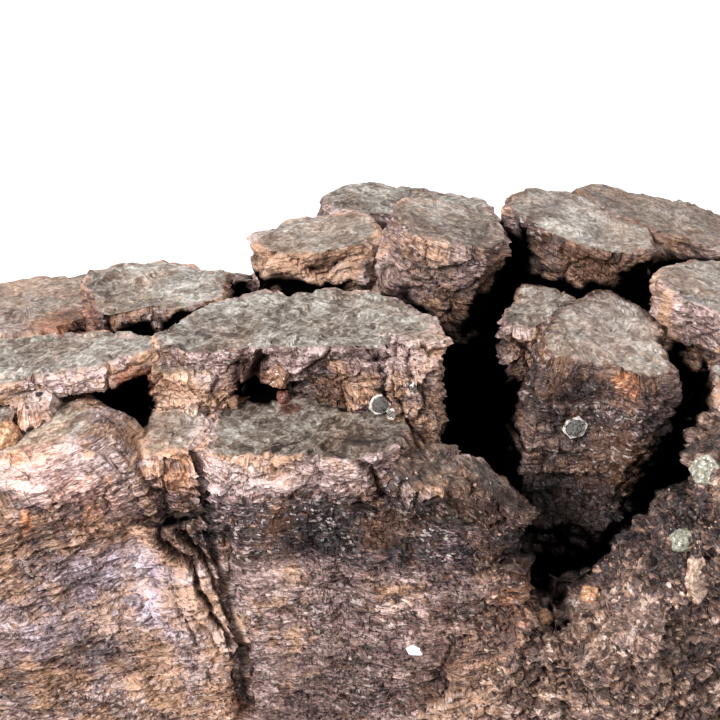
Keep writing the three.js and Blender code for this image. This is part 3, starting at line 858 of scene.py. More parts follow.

# %% [markdown]
# Iron, clay and dirt have stained the books in a few places, and a band of purplish black sheets runs
# across the front, darkened further under the ledge's overhang as painted shade. A few stains are
# painted shade in a pit or painted glints instead. Noise alone would put them anywhere. So each stain
# has a place and a size, and clouds make its border ragged.

# %% Stains and the dark band
Stain = namedtuple("Stain", "place size tint")
STAINS = [  # the middle and the radii, mm in the layout, and what the colour is multiplied by
    Stain((29.8, -8.6, 43.0), (1.9, 3.0, 1.7), (3.3, 2.7, 1.95)),  # ochre on the right book
    Stain((24.3, -8.5, 42.0), (2.8, 4.0, 1.6), (0.35, 0.32, 0.38)),
    Stain((24.0, -9.0, 25.0), (12.0, 9.0, 9.0), (0.25, 0.22, 0.26)),  # painted shade in the pit at the foot of the right book
    Stain((-8.0, -9.0, 41.4), (2.0, 1.6, 2.0), (0.5, 0.20, 0.13)),  # red clay in the pocket
    Stain((-12.7, -8.6, 43.4), (3.1, 4.0, 4.2), (0.36, 0.27, 0.24)),
    Stain((-25.5, -6.0, 43.0), (3.6, 5.0, 3.0), (0.55, 0.32, 0.26)),
    Stain((-34.0, 6.0, 46.0), (7.0, 6.0, 3.0), (0.9, 0.62, 0.48)),
    Stain((-20.0, -17.0, 36.0), (4.0, 5.0, 5.0), (1.15, 1.0, 0.88)),
    Stain((-30.0, -19.0, 33.0), (6.0, 6.0, 4.0), (1.22, 1.05, 0.95)),
    Stain((-13.4, -18.0, 7.0), (2.6, 8.0, 8.0), (0.36, 0.25, 0.22)),
    Stain((12.0, -19.0, 17.0), (9.0, 6.0, 6.0), (0.88, 0.80, 0.76)),
    Stain((-36.0, -14.0, 38.0), (6.0, 6.0, 5.0), (1.22, 1.05, 0.94)),
    Stain((17.0, -17.0, 21.0), (5.0, 5.0, 5.0), (1.15, 0.95, 0.8)),
    Stain((-29.0, -20.0, 18.0), (14.0, 9.0, 12.0), (0.90, 0.98, 1.18)),  # less iron low on the left
    Stain((-36.4, -19.0, 34.8), (1.5, 3.0, 1.0), (2.3, 2.3, 2.3)),  # painted glints: glassy spots, with the next two
    Stain((-34.4, -18.6, 34.6), (0.8, 3.0, 0.8), (2.3, 2.3, 2.3)),
    Stain((-19.4, -17.4, 39.0), (0.9, 3.0, 0.8), (1.9, 1.9, 1.9)),
    Stain((-36.4, -19.0, 30.4), (0.9, 3.0, 2.6), (1.7, 1.25, 0.9)),
]

# The dark band: where it fades in, mm in the layout.
BAND_TOP = (34.5, 32.0)
BAND_FOOT = 27.0  # its lower edge at its left end
BAND_START = -40.0
BAND_SLOPE = 0.06  # how much the lower edge falls to the right
BAND_FADE = (-1.5, 2.5)  # from below to above the lower edge
BAND_LEFT = (-19.0, -27.0)  # further left the band is faint
BAND_FRONT = (-8.0, -12.0)
BAND_WANDER = 5.0


def stained(colour, spot):
    """The colour with iron, clay and grime in a few places, painted shade in one pit and painted glints
    on the left.
    """
    tree = spot.tree
    cloud = swing(spot, 0.5, 0.9, 3.0, 0.6)
    for stain in STAINS:
        middle = Vector(stain.place) - FOOTPRINT_MIDDLE
        away = (spot - tuple(middle)) * tuple(1.0 / radius for radius in stain.size)
        share = ramp(calculate(tree, "LENGTH", away) + cloud, 1.05, 0.55)
        colour = blended(share, colour, colour * stain.tint)
    return colour


def dark_band_and_shade(spot):
    """The band of purplish black sheets across the show face, and painted shade under the ledge's
    overhang, as a share from 0 to 1.
    """
    cloud = swing(spot * (0.6, 0.6, 1.0), 0.22, BAND_WANDER, 3.0)
    x, y, z = parts_of(spot + tuple(FOOTPRINT_MIDDLE))
    under_top = ramp(z + cloud, *BAND_TOP)
    lower_edge = BAND_FOOT - (x - BAND_START) * BAND_SLOPE
    above_foot = ramp(z + cloud - lower_edge, *BAND_FADE)
    on_left = ramp(x + cloud, *BAND_LEFT, 1.0, 0.3)
    return under_top * above_foot * on_left * ramp(y, *BAND_FRONT)


print(len(STAINS), "stains")

# %% [markdown]
# The side and the top are coloured in the same way. Several patterns, from grains a third of a
# millimetre wide to patches of a centimetre, are added to one number, the tone. A palette turns the
# tone into a colour, so that dark and pale always mix in the way that this mica does.

# %% Palettes
SIDE_COLOURS = [  # a tone and the colour that it gives
    (0.18, (0.0075, 0.0032, 0.0036)),
    (0.34, (0.040, 0.0205, 0.0180)),
    (0.47, (0.098, 0.057, 0.048)),
    (0.61, (0.205, 0.129, 0.112)),
    (0.82, (0.500, 0.382, 0.358)),
]
TOP_COLOURS = [
    (0.20, (0.026, 0.0165, 0.0125)),
    (0.38, (0.080, 0.058, 0.045)),
    (0.52, (0.163, 0.134, 0.111)),
    (0.64, (0.250, 0.228, 0.198)),
    (0.84, (0.470, 0.445, 0.410)),
]
LUMP_COLOURS = [
    (0.15, (0.010, 0.005, 0.005)),
    (0.40, (0.060, 0.035, 0.029)),
    (0.60, (0.145, 0.090, 0.070)),
    (0.78, (0.330, 0.190, 0.125)),
    (0.95, (0.600, 0.500, 0.440)),
]
DARK_RUST, PALE_RUST = (0.070, 0.026, 0.010), (0.48, 0.27, 0.150)
LESS_IRON = (0.96, 0.94, 1.06)  # tints: what a colour is multiplied by
PURPLE_BLACK = (0.76, 0.72, 0.88)
THIN_SHEETS = (0.98, 0.74, 0.62)
HOLLOW_SHADE = (0.30, 0.22, 0.21)
CRACK_SHADE = (0.16, 0.10, 0.08)
PAINTED_GLINT = (0.60, 0.51, 0.48)
GAP_SHADE_BLACK = (0.0016, 0.0011, 0.0011)
print("palettes of", len(SIDE_COLOURS), len(TOP_COLOURS), "and", len(LUMP_COLOURS), "colours")

# %% [markdown]
# The broken edges of the sheets look like scales. Coarse and fine scales lie over layers, layers over
# streaks, and streaks over patches. Iron then stains some places orange, and a few flakes get painted
# glints.

# %% The colour of a side
def side_colour(place, spot, below, look, lean):
    """The broken edges of the sheets: scales over layers over broad patches, with painted glints and a
    painted highlight just under the rim.
    """
    light, warm, _ = parts_of(look)
    x, y, z = parts_of(place)
    lean_x, lean_y, stand = parts_of(lean)
    place = joined(place.tree, x, y, z + x * lean_x + y * lean_y)
    coarse = use_group(sheet_edges, place, 0.6, 5.0)
    fine = use_group(sheet_edges, place + (7.0, 3.0, 5.0), 1.3, 5.0)
    grain = swing(place * (1.1, 1.1, 5.0), 1.0, 1.0, 4.0, 0.68)
    streaks = swing(place * (0.22, 0.22, 2.4), 1.0, 0.5, 3.0, 0.6)
    patches = swing(spot, 0.07, 0.5, 3.0, 0.55) + swing(spot * (1.0, 1.0, 2.2), 0.3, 0.5, 3.0, 0.6)
    tone = 0.5 + (coarse["Edge"] - 0.3) * 0.16 + (fine["Edge"] - 0.3) * 0.14
    tone = tone + (coarse["Layer"] - 0.5) * 0.55 + grain * 0.5 + streaks + patches
    # painted highlight: the side is lighter just under the rim of the top. Blocks that stand out are
    # lighter too.
    tone = tone + light * 0.3 + ramp(below, 0.0, 0.9, 0.05, 0.0) + stand * 0.35
    # the dark band: purplish black sheets, and painted shade under the ledge's overhang
    band = dark_band_and_shade(spot)
    laminae = ramp(noise(place * (0.16, 0.16, 3.4) + (1.0, 6.0, 0.0), 1.0, 4.0, 0.7), 0.54, 0.66)
    tone = tone + laminae * 0.1 - band * (0.27 - laminae * 0.22 - grain * 0.8)
    colour = palette(tone, *SIDE_COLOURS)
    iron = noise(spot + (40.0, 9.0, 3.0), 0.13, 3.0, 0.65) * 0.7
    iron = iron + noise(spot, 0.6, 3.0, 0.6) * 0.3 + warm * 0.12
    rust = blended(ramp(tone, 0.3, 0.78), DARK_RUST, PALE_RUST)
    colour = blended(ramp(iron, 0.49, 0.6) * 0.7, colour, rust)
    colour = blended(ramp(iron, 0.49, 0.4) * 0.6, colour, colour * LESS_IRON)
    colour = blended(band * 0.5, colour, colour * PURPLE_BLACK)
    # painted glints: a few flakes, in patches, are blended towards pale silver as if they caught the
    # light
    glint = cells(place * (1.0, 1.0, 2.2) + cloudy_vector(place, 1.5) * 0.3, 2.2, "F1", "Color")
    bright = ramp(parts_of(glint)[1], 0.87, 0.93)
    bright = bright * ramp(noise(spot + (2.0, 0.0, 4.0), 0.14, 2.0), 0.42, 0.6)
    return blended(bright * 0.5, colour, PAINTED_GLINT), tone


print("the colour of a side is ready")

# %% [markdown]
# A top sheet is paler, greyer and calmer than a side. Where only a thin sheet is left, the brown mica
# below shows through. The mound at the right is lumps, and each lump has a colour of its own.

# %% The colours of tops and lumps
def top_colour(place, spot, look):
    """The top sheets: grey-green, flaked, with brown where the sheets are thin."""
    light, warm, _ = parts_of(look)
    flat = place * (1.0, 1.0, 0.5)
    coarse = use_group(sheet_edges, flat, 0.55, 1.0)
    fine = use_group(sheet_edges, flat + (2.0, 8.0, 1.0), 1.5, 1.0)
    grain = swing(place * (1.4, 2.0, 2.0), 1.0, 0.42, 4.0, 0.68)
    patches = swing(spot + (9.0, 2.0, 7.0), 0.11, 0.75, 3.0, 0.55)
    patches = patches + swing(spot * (1.0, 1.0, 0.6) + (5.0, 5.0, 5.0), 0.35, 0.5, 4.0, 0.62)
    tone = 0.5 + (coarse["Edge"] - 0.3) * 0.18 + (fine["Edge"] - 0.3) * 0.12
    tone = tone + (coarse["Layer"] - 0.5) * 0.38 + grain + patches + light * 0.25
    colour = palette(tone, *TOP_COLOURS)
    thin = ramp(noise(spot, 0.16, 3.0, 0.6) + warm * 0.1, 0.5, 0.66)
    return blended(thin * 0.6, colour, colour * THIN_SHEETS)


def lump_colour(spot, side_tone):
    """Broken lumps: each grain has its own colour, from black mica through brown to tan and white."""
    lump = cells(spot + cloudy_vector(spot, 0.9) * 0.35, 1.25, "F1", "Color")
    heap = swing(spot + (3.0, 0.0, 9.0), 0.16, 0.9, 3.0, 0.6)
    return palette(parts_of(lump)[0] * 0.5 + (side_tone - 0.5) * 0.9 + heap + 0.26, *LUMP_COLOURS)


print("the colours of tops and lumps are ready")

# %% [markdown]
# The top sheet's colour covers the side's where the book tree says top. Then come lumps where a book
# is crumbled, painted shade in hollows and cracks, stains, and the painted black shade of the gaps.
# The painted shade of a gap must not mirror the sky. A black metal reflects nothing, so Metallic is
# the gap's share.

# %% The books' material, put together
LUMP_SHARE = 0.75  # how much of the lumps' own colours shows on a crumbled book
HOLLOW_SHARE = 0.45  # how strongly painted shade darkens the hollows
CRACK_SHARE = 0.9  # how strongly painted shade darkens the cracks
CRACKED = (0.1, 0.8)  # the depth where painted shade in a crack begins, and where it is darkest, mm
FLAKES_PER_MM, FLAKE_TURN = 1.9, 0.6  # the glitter
RIPPLE, RIPPLE_STRENGTH = 0.2 * MM, 0.6  # the bumps of the thinnest sheets
MIRROR_SHEETS, DULL_SHEETS = 0.36, 0.66  # roughness of the brightest and the dullest flakes
FRESH_GLOSS = 0.16  # how much smoother the lighter, fresher books are


def make_book_material():
    material, tree, shader = new_material("weathered mica")
    spot = spot_of(tree)
    place, look, lean = (kept_value(tree, name, "Vector") for name in ("sheets", "look", "lean"))
    light, _, crumble = parts_of(look)

    side, side_tone = side_colour(place, spot, kept_value(tree, "below"), look, lean)
    on_top = kept_value(tree, "top") * (1.0 - crumble)
    colour = blended(on_top, side, top_colour(place, spot, look))
    colour = blended(crumble * LUMP_SHARE, colour, lump_colour(spot, side_tone))
    painted_shade_masks = use_group(gap_shade, spot, kept_value(tree, "shade"), kept_value(tree, "relief"))
    # painted shade: worn-back hollows of the side are darkened
    colour = blended(painted_shade_masks["Hollow"] * HOLLOW_SHARE, colour, colour * HOLLOW_SHADE)
    # painted shade: the deeper a crack, the darker it is painted
    in_crack = ramp(kept_value(tree, "crack"), *CRACKED) * CRACK_SHARE
    colour = blended(in_crack, colour, colour * CRACK_SHADE)
    # painted shade: the gaps are blended to near-black where the rays say they are shaded
    colour = blended(painted_shade_masks["Gap"], stained(colour, spot), GAP_SHADE_BLACK)

    sparkle = use_group(glitter, place * (1.0, 1.0, 1.7), FLAKES_PER_MM, FLAKE_TURN)
    fine = noise(place * (1.2, 1.2, 6.0), 1.0, 3.0, 0.7)
    inputs = {
        "Height": fine,
        "Normal": sparkle["Normal"],
        "Distance": RIPPLE,
        "Strength": RIPPLE_STRENGTH,
    }
    bump = add_node(tree, "ShaderNodeBump", inputs)
    fresh = ramp(light + swing(spot, 0.2, 0.8), 0.0, 0.5)
    gloss = ramp(sparkle["Flake"], 0.0, 0.5, MIRROR_SHEETS, DULL_SHEETS, "LINEAR") - fresh * FRESH_GLOSS
    plug(tree, colour, shader.inputs["Base Color"])
    # painted shade: in the gaps the surface is made fully rough and metallic black, so it reflects
    # nothing
    plug(tree, highest(gloss, painted_shade_masks["Gap"]), shader.inputs["Roughness"])
    plug(tree, painted_shade_masks["Gap"], shader.inputs["Metallic"])
    plug(tree, Wire(tree, bump.outputs[0]), shader.inputs["Normal"])
    make_satin(shader)
    return material


book_material = make_book_material()
print("the books' material has", len(book_material.node_tree.nodes), "nodes")

# %% [markdown]
# ## Growing the books
#
# A book that faces the viewer gets points about a quarter of a millimetre apart. One at the back or
# down in a gap needs far fewer. Books at the rear are worn smoother, the roots under the gaps are
# painted nearly black where they lie in shade, and the mound at the right is crumbled to lumps.
#
# A modifier could stay on each book, but the books are wanted as plain meshes. So the tree's result is
# kept as a new mesh, and the source goes with its modifier.

# %% How fine and how worn each book is
FINE, MEDIUM, COARSE, HIDDEN = 0.23, 0.32, 0.5, 0.7  # distance between points, mm
FINE_BOOKS = """
    front left_front right_book upper_plate upper_middle upper_left upper_right_end
    front_right_end front_left_end front_ledge front_shelf front_left_foot
""".split()
MEDIUM_BOOKS = """
    right_apron left_shelf rear_left_book rear_middle_book rear_right_book rear_left_slab small_book
    right_mound_foot right_mound_low right_mound_middle right_mound_step right_mound_high
    right_end_book left_knob left_under front_right_foot
""".split()
SPACING = dict.fromkeys(BOOKS, COARSE)
SPACING.update(dict.fromkeys(FINE_BOOKS, FINE))
SPACING.update(dict.fromkeys(MEDIUM_BOOKS, MEDIUM))
SPACING.update(left_root=HIDDEN, right_root=HIDDEN, front_root=HIDDEN)
# How light its side and top are, how warm its colour and how crumbled it is, where it isn't ordinary.
# Some tones here are painted shade: the dark tops of front, front_left_foot and front_right_foot, which
# lie under other books, and part of the dark sides of right_book and rear_right_book, which face the
# gaps.
Look = namedtuple("Look", "light top_light warm crumble")
ORDINARY = Look(0.0, 0.1, 0.0, 0.0)
LOOKS = {
    "front": Look(-0.2, -1.6, -0.2, 0.0),
    "front_ledge": Look(0.32, -0.15, 0.1, 0.0),
    "front_shelf": Look(-0.1, -0.4, 0.4, 0.4),
    "front_left_end": Look(0.5, 0.2, 0.4, 0.15),
    "front_right_end": Look(-0.1, -0.4, 0.4, 0.45),
    "front_right_foot": Look(-0.2, -1.2, 0.3, 0.4),
    "front_left_foot": Look(0.2, -1.6, 0.4, 0.1),
    "left_front": Look(0.14, 0.15, 0.35, 0.0),
    "left_shelf": Look(0.3, 0.3, 0.3, 0.0),
    "left_under": Look(-0.3, 0.0, 0.6, 0.3),
    "left_knob": Look(0.6, 0.6, 0.2, 0.5),
    "upper_plate": Look(0.1, 0.1, 0.0, 0.0),
    "upper_left": Look(0.35, 0.2, 1.0, 0.2),
    "upper_middle": Look(-0.4, 0.0, 0.3, 0.1),
    "upper_right_end": Look(0.2, 0.1, 0.4, 0.3),
    "rear_left_slab": Look(0.0, 0.4, 0.5, 0.0),
    "rear_left_low": Look(0.1, 0.1, 0.7, 0.3),
    "rear_left_book": Look(0.15, 0.2, 0.8, 0.1),
    "rear_middle_book": Look(-0.15, 0.0, 0.4, 0.2),
    "rear_right_book": Look(-0.4, 0.4, 0.4, 0.1),
    "far_right_slope": Look(0.0, 0.1, 0.6, 0.2),
    "right_book": Look(-0.7, 0.4, 0.3, 0.2),
    "small_book": Look(-0.1, 0.1, 0.2, 0.1),
    "right_end_book": Look(0.0, 0.3, 0.4, 0.1),
    "right_apron": Look(-0.1, -0.1, 0.3, 0.9),
    "right_mound_foot": Look(-0.1, -0.1, 0.1, 0.9),
    "right_mound_low": Look(-0.15, -0.15, 0.1, 1.0),
    "right_mound_middle": Look(-0.3, -0.3, 0.0, 1.0),
    "right_mound_step": Look(-0.4, -0.4, 0.1, 1.0),
    "right_mound_high": Look(-0.4, -0.4, 0.1, 0.8),
    # The roots' dark tones are painted shade: they are mostly seen down in the gaps.
    "left_root": Look(-0.1, -0.8, 0.0, 0.3),
    "right_root": Look(-0.2, -0.8, 0.0, 0.3),
    "front_root": Look(-0.6, -1.2, 0.0, 0.3),
    "rear_root": Look(-0.1, -0.2, 0.0, 0.2),
}
# How much more strongly than usual shade is painted in a book's gaps, how kinked a book is, how
# deeply it is worn, and how round the edge of its top sheet is, mm. Each is left out where the book is an
# ordinary one.
SHADE_GAIN = {"left_root": 3.0, "right_root": 3.0, "front_root": 3.0, "rear_root": 2.0}
BLOCKS = {"front": 0.3, "left_front": 0.5, "front_left_foot": 0.6, "front_ledge": 0.7, "right_book": 0.5}
SMOOTHER_BOOKS = """
    rear_left_book rear_middle_book rear_right_book far_right_slope rear_top_plate rear_left_low
    right_end_book
""".split()
WEAR = {"left_front": 0.8, **dict.fromkeys(SMOOTHER_BOOKS, 0.65)}
ROUNDING = {"right_book": 1.2, "left_front": 5.0, "front_left_end": 2.0, "left_knob": 2.0}
# The columns of these crowd to the back instead of the front.
SHOWN_FROM_BEHIND = """
    back_left_book back_middle_book back_right_book far_right_slope rear_top_plate rear_root
""".split()
print("books in fine detail:", len(FINE_BOOKS), "in medium detail:", len(MEDIUM_BOOKS))

# %% Growing
PLAIN_ROUNDING = 0.5  # of the edge of a top sheet, mm
CROWD_FRONT, CROWD_BACK = 0.55, -0.5  # how strongly the columns crowd to the front or to the back
COLUMN_SHARE = 0.75  # of the columns that even gaps would need, because they crowd where they are seen
RING_WIDTH = 1.4  # the rings on the top lie this much wider apart than the rows on the side


def set_inputs(modifier, tree, values):
    """Sets a modifier's inputs by the titles that the tree gives them."""
    for item in tree.interface.items_tree:
        if item.item_type == "SOCKET" and item.in_out == "INPUT" and item.name in values:
            modifier[item.identifier] = values[item.name]


def grown(name, tree, values, source):
    """The mesh that a tree makes of a source mesh, as a plain object. The source goes."""
    holder = add_object(name, source)
    modifier = holder.modifiers.new("grown", "NODES")
    modifier.node_group = tree
    set_inputs(modifier, tree, values)
    evaluated = holder.evaluated_get(bpy.context.evaluated_depsgraph_get())
    mesh = bpy.data.meshes.new_from_object(evaluated)
    bpy.data.objects.remove(holder)
    bpy.data.meshes.remove(source)
    mesh.name = name
    return add_object(name, mesh)


def grow_book(name, book, seed):
    rim = bpy.data.meshes.new(name)
    rim.from_pydata([(x, y, 0.0) for x, y in book.rim], [], [])
    spacing = SPACING[name]
    look = LOOKS.get(name, ORDINARY)
    girth = sum(math.dist(a, b) for a, b in zip(book.rim, book.rim[1:] + book.rim[:1]))
    radius = sum(math.hypot(x, y) for x, y in book.rim) / len(book.rim)
    values = {
        "Place": Vector(book.place) - FOOTPRINT_MIDDLE,
        "Tilt": (math.radians(book.tilt[0]), math.radians(book.tilt[1]), 0.0),
        "Depth": float(book.depth),
        "Flare": float(book.flare),
        "Rounding": ROUNDING.get(name, PLAIN_ROUNDING),
        "Wear": WEAR.get(name, 1.0),
        "Seed": float(seed),
        "Columns": round(girth / spacing * COLUMN_SHARE),
        "Rows": round(min(book.depth, book.place[2]) / spacing),
        "Rings": round(radius / spacing / RING_WIDTH),
        "Crowding": CROWD_BACK if name in SHOWN_FROM_BEHIND else CROWD_FRONT,
        "Light": look.light,
        "Top light": look.top_light,
        "Warm": look.warm,
        "Crumble": look.crumble,
        "Blocks": BLOCKS.get(name, 1.0),
        "Solids": cluster_solid,
        "Dirt": SHADE_GAIN.get(name, 1.0),
        "Finish": book_material,
    }
    return grown(name, book_tree, values, rim)


def declare(piece, node):
    """Puts a finished piece under the root body, and hides the plain solid of the frame that it stands
    for.
    """
    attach(piece, "root")
    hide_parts(node)


book_pieces = {}
for seed, (name, book) in enumerate(BOOKS.items()):
    book_pieces[name] = grow_book(name, book, seed)
    declare(book_pieces[name], "mica_book_cluster")
triangles = {name: sum(len(p.vertices) - 2 for p in o.data.polygons) for name, o in book_pieces.items()}
print("triangles in all", sum(triangles.values()), "most in one book", max(triangles.values()))

# %% [markdown]
# ## The small crystals
#
# Clear flakes of mica, a brown and a tan crystal, greenish ones and a few orange grains sit on the
# books. Each one is a few millimetres across, and its solid in the frame has the right size, place and
# turn. So each finished crystal starts as a copy of that solid: its faces are split small, its edges
# are worn round, and it is given low growth steps.
#
# A clear flake is see-through, and only its rim is frosted. The rim is broken sheets that scatter
# light, so it is a second, opaque material on the faces that lie far out from the flake's middle.

# %% The crystal tree
STEPS = 9.0  # growth steps between the lowest and the highest part of a crystal
STEP_HEIGHT = 0.11  # of one step, in shares of the height of the lumps


def add_crystal_tree():
    inputs = [
        ("Solid", "Object"),
        ("Splits", "Int", 4),
        ("Wear", "Int", 6),
        ("Lumps", "Float", 0.2),
        ("Lump size", "Float", 1.0),
        ("Rim", "Float", 2.0),
        ("Body", "Material"),
        ("Frost", "Material"),
    ]
    tree, given = new_tree("Small crystal", "GeometryNodeTree", inputs, [("Crystal", "Geometry")])
    plain = shape_of(tree, given["Solid"])
    box = add_node(tree, "GeometryNodeBoundBox", {0: plain})
    low, high = Wire(tree, box.outputs["Min"]), Wire(tree, box.outputs["Max"])
    place, normal = place_and_normal(tree)

    # Welded, split small and worn round.
    geometry = passed(plain, "GeometryNodeMergeByDistance", {"Distance": 0.01 * MM})
    geometry = passed(geometry, "GeometryNodeSubdivideMesh", {1: given["Splits"]})
    inputs = {"Value": place, "Iterations": given["Wear"]}
    worn = add_node(tree, "GeometryNodeBlurAttribute", inputs, data_type="FLOAT_VECTOR")
    geometry = passed(geometry, "GeometryNodeSetPosition", {"Position": output_in_use(tree, worn)})

    # Knobs and growth steps.
    spot = place * (1 / MM)
    per_mm = calculate(tree, "DIVIDE", 1.1, given["Lump size"])
    knobs = 0.5 - cells(spot + cloudy_vector(spot, 1.0) * 0.3, per_mm)
    steps = calculate(tree, "FLOOR", noise(spot, 0.9) * STEPS) * STEP_HEIGHT - 0.5
    height = (knobs + steps) * given["Lumps"] * MM
    geometry = passed(geometry, "GeometryNodeSetPosition", {"Offset": normal * height})

    # The body, and frost on the faces that lie far out from its middle.
    from_middle = calculate(tree, "LENGTH", place - (low + high) * 0.5)
    reach = calculate(tree, "LENGTH", high - low) * 0.5
    out = from_middle / reach + swing(spot, 1.1, 0.3, 3.0, 0.6)
    on_rim = calculate(tree, "GREATER_THAN", out, given["Rim"])
    geometry = finished(geometry, given["Body"])
    inputs = {"Selection": on_rim, "Material": given["Frost"]}
    finish_tree(tree, Crystal=passed(geometry, "GeometryNodeSetMaterial", inputs))
    return tree


crystal_tree = add_crystal_tree()
print("the crystal tree has", len(crystal_tree.nodes), "nodes")

# %% [markdown]
# A crystal's colour is clouds between a dark and a pale one. Clear mica could be plain glass, but a
# weathered flake is a little dusty. So it lets nearly all the light through, and the rest shows its
# colour.

# %% The crystals' materials
Finish = namedtuple("Finish", "name dark pale roughness transmission grain", defaults=(0.0, 2.2))
FINISHES = {
    "clear_mica": Finish("clear mica", (0.36, 0.33, 0.30), (0.86, 0.83, 0.79), 0.08, 0.93),
    "frost": Finish("frosted rim", (0.30, 0.26, 0.24), (0.70, 0.64, 0.60), 0.45, grain=3.0),
    # the pale flake's near-white body is a painted reflection
    "silver_mica": Finish("silvery flake", (0.50, 0.48, 0.48), (0.95, 0.93, 0.93), 0.3, grain=3.0),
    "brown_crystal": Finish("brown crystal", (0.07, 0.030, 0.017), (0.26, 0.13, 0.075), 0.3),
    "tan_crystal": Finish("tan crystal", (0.13, 0.07, 0.048), (0.52, 0.37, 0.28), 0.3),
    "green_crystal": Finish("green crystal", (0.11, 0.095, 0.068), (0.48, 0.46, 0.37), 0.2, 0.3),
    "red_crystal": Finish("red clay", (0.030, 0.008, 0.005), (0.17, 0.050, 0.030), 0.5),
    "amber_crystal": Finish("amber grain", (0.20, 0.085, 0.040), (0.54, 0.31, 0.18), 0.35),
}


def make_crystal_material(finish):
    """Clouds between a dark and a pale colour, rougher where they are pale."""
    material, tree, shader = new_material(finish.name)
    spot = spot_of(tree)
    cloud = noise(spot, finish.grain, 4.0, 0.65)
    roughness = ramp(cloud, 0.3, 0.7, finish.roughness * 0.7, finish.roughness * 1.3)
    plug(tree, blended(ramp(cloud, 0.3, 0.7), finish.dark, finish.pale), shader.inputs["Base Color"])
    plug(tree, roughness, shader.inputs["Roughness"])
    plug(tree, use_group(glitter, spot, 3.0, 0.35)["Normal"], shader.inputs["Normal"])
    shader.inputs["Transmission Weight"].default_value = finish.transmission
    shader.inputs["IOR"].default_value = MICA_IOR
    return material


crystal_materials = {slot: make_crystal_material(finish) for slot, finish in FINISHES.items()}
print(len(crystal_materials), "materials for the crystals")

# %% [markdown]
# A crystal has to touch the worn surface of its book, which isn't exactly where the plain solid has it.
# A ray from the camera through the crystal's middle finds that surface. The crystal is moved along the
# ray until it sits there, by 1.2 mm at most, so it keeps its place in the view.

# %% Growing the crystals
CLEAR = ("clear_flake", "clear_chip", "standing_flake", "hexagonal_flake", "pale_flake")
SLOTS = {
    **dict.fromkeys(CLEAR, "clear_mica"),
    "pocket_crystal": "brown_crystal",
    "tan_crystal": "tan_crystal",
    "blade_crystal": "tan_crystal",
    "green_crystal": "green_crystal",
    "green_grain": "green_crystal",
    "red_grain": "red_crystal",
    "orange_grain": "amber_crystal",
    "amber_grain": "amber_crystal",
    "pink_grain": "amber_crystal",
}
# How often a face is split, how long it is worn, and the height and width of its lumps, mm.
Growth = namedtuple("Growth", "splits wear lumps lump_size")
FLAKE = Growth(4, 2, 0.12, 0.7)
GRAIN = Growth(3, 2, 0.45, 0.9)
CRYSTAL = Growth(4, 5, 0.3, 0.7)
FROSTED_FROM = 0.56  # share of the way from the middle of a flake to a corner of its box
NOWHERE = 9.0  # past every corner, so that nothing is frosted
FARTHEST_MOVE = 1.2 * MM
PLAIN_PROUD = 0.25  # how far a crystal's middle stands off the surface, mm
PROUD = dict.fromkeys(("clear_chip", "standing_flake", "pale_flake"), 0.4)
PROUD.update(pocket_crystal=0.0, clear_flake=0.5)


def surface_ahead(start, direction):
    """Where a ray first meets a book, in metres, or None."""
    nearest = None
    for piece in book_pieces.values():
        hit, place, _, _ = piece.ray_cast(start, direction)
        if hit and (nearest is None or (place - start).length < (nearest - start).length):
            nearest = place
    return nearest


def seat(name, piece):
    """Moves a crystal along the line of sight until it sits on its book."""
    corners = [vertex.co for vertex in piece.data.vertices]
    middle = sum(corners, Vector()) / len(corners)
    eye = bpy.context.scene.camera.location
    direction = (middle - eye).normalized()
    target = surface_ahead(eye, direction)
    if target is None:
        return
    move = (target - middle).dot(direction) - PROUD.get(name, PLAIN_PROUD) * MM
    move = max(-FARTHEST_MOVE, min(FARTHEST_MOVE, move))
    for corner in corners:
        corner += direction * move
    print(name, "moved by", round(move / MM, 2), "mm")


def grow_crystal(name, slot):
    """A crystal, finished and in its place. The pale flake mirrors the light, so its body is painted
    silvery white, as its reflection.
    """
    growth = GRAIN if name.endswith("grain") else FLAKE if name in CLEAR else CRYSTAL
    silvery = name == "pale_flake"
    values = {
        "Solid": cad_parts[name],
        "Splits": growth.splits,
        "Wear": growth.wear,
        "Lumps": growth.lumps,
        "Lump size": growth.lump_size,
        "Rim": FROSTED_FROM if name in CLEAR and not silvery else NOWHERE,
        "Body": crystal_materials["silver_mica" if silvery else slot],
        "Frost": crystal_materials["frost"],
    }
    piece = grown(name + "_grown", crystal_tree, values, bpy.data.meshes.new(name))
    seat(name, piece)
    declare(piece, name)
    return piece


crystal_pieces = [grow_crystal(name, slot) for name, slot in SLOTS.items()]
print(len(crystal_pieces), "crystals")

# %% [markdown]
# ## Crumbs
#
# The broken slope at the right is covered with crumbs of mica, from a quarter of a millimetre to two
# millimetres long: black, brown, tan and nearly white. A few lie on the ledges too. They are thin
# plates that dip to the right, and there are none down in the gaps.
#
# Modelling them by hand would take weeks, so they are scattered over the books' own meshes with fixed
# seeds. Each is an icosahedron of twenty faces, stretched, turned and chipped at random. There are
# tens of thousands of them, so each has to stay that simple.

# %% The crumb tree
LIGHT_ENDS, FULL_LIGHT = 0.34, 0.22  # the shade where crumbs end, and the shade where all of them lie
# The least and the greatest stretch of a crumb along its three axes, and its turn about them, radians.
STRETCH = (0.6, 0.6, 0.15), (1.6, 1.4, 0.75)
TURN = (-0.7, 0.0, -0.8), (0.5, 1.3, 0.8)
CHIPPING = 0.16 * MM  # how far its corners are moved


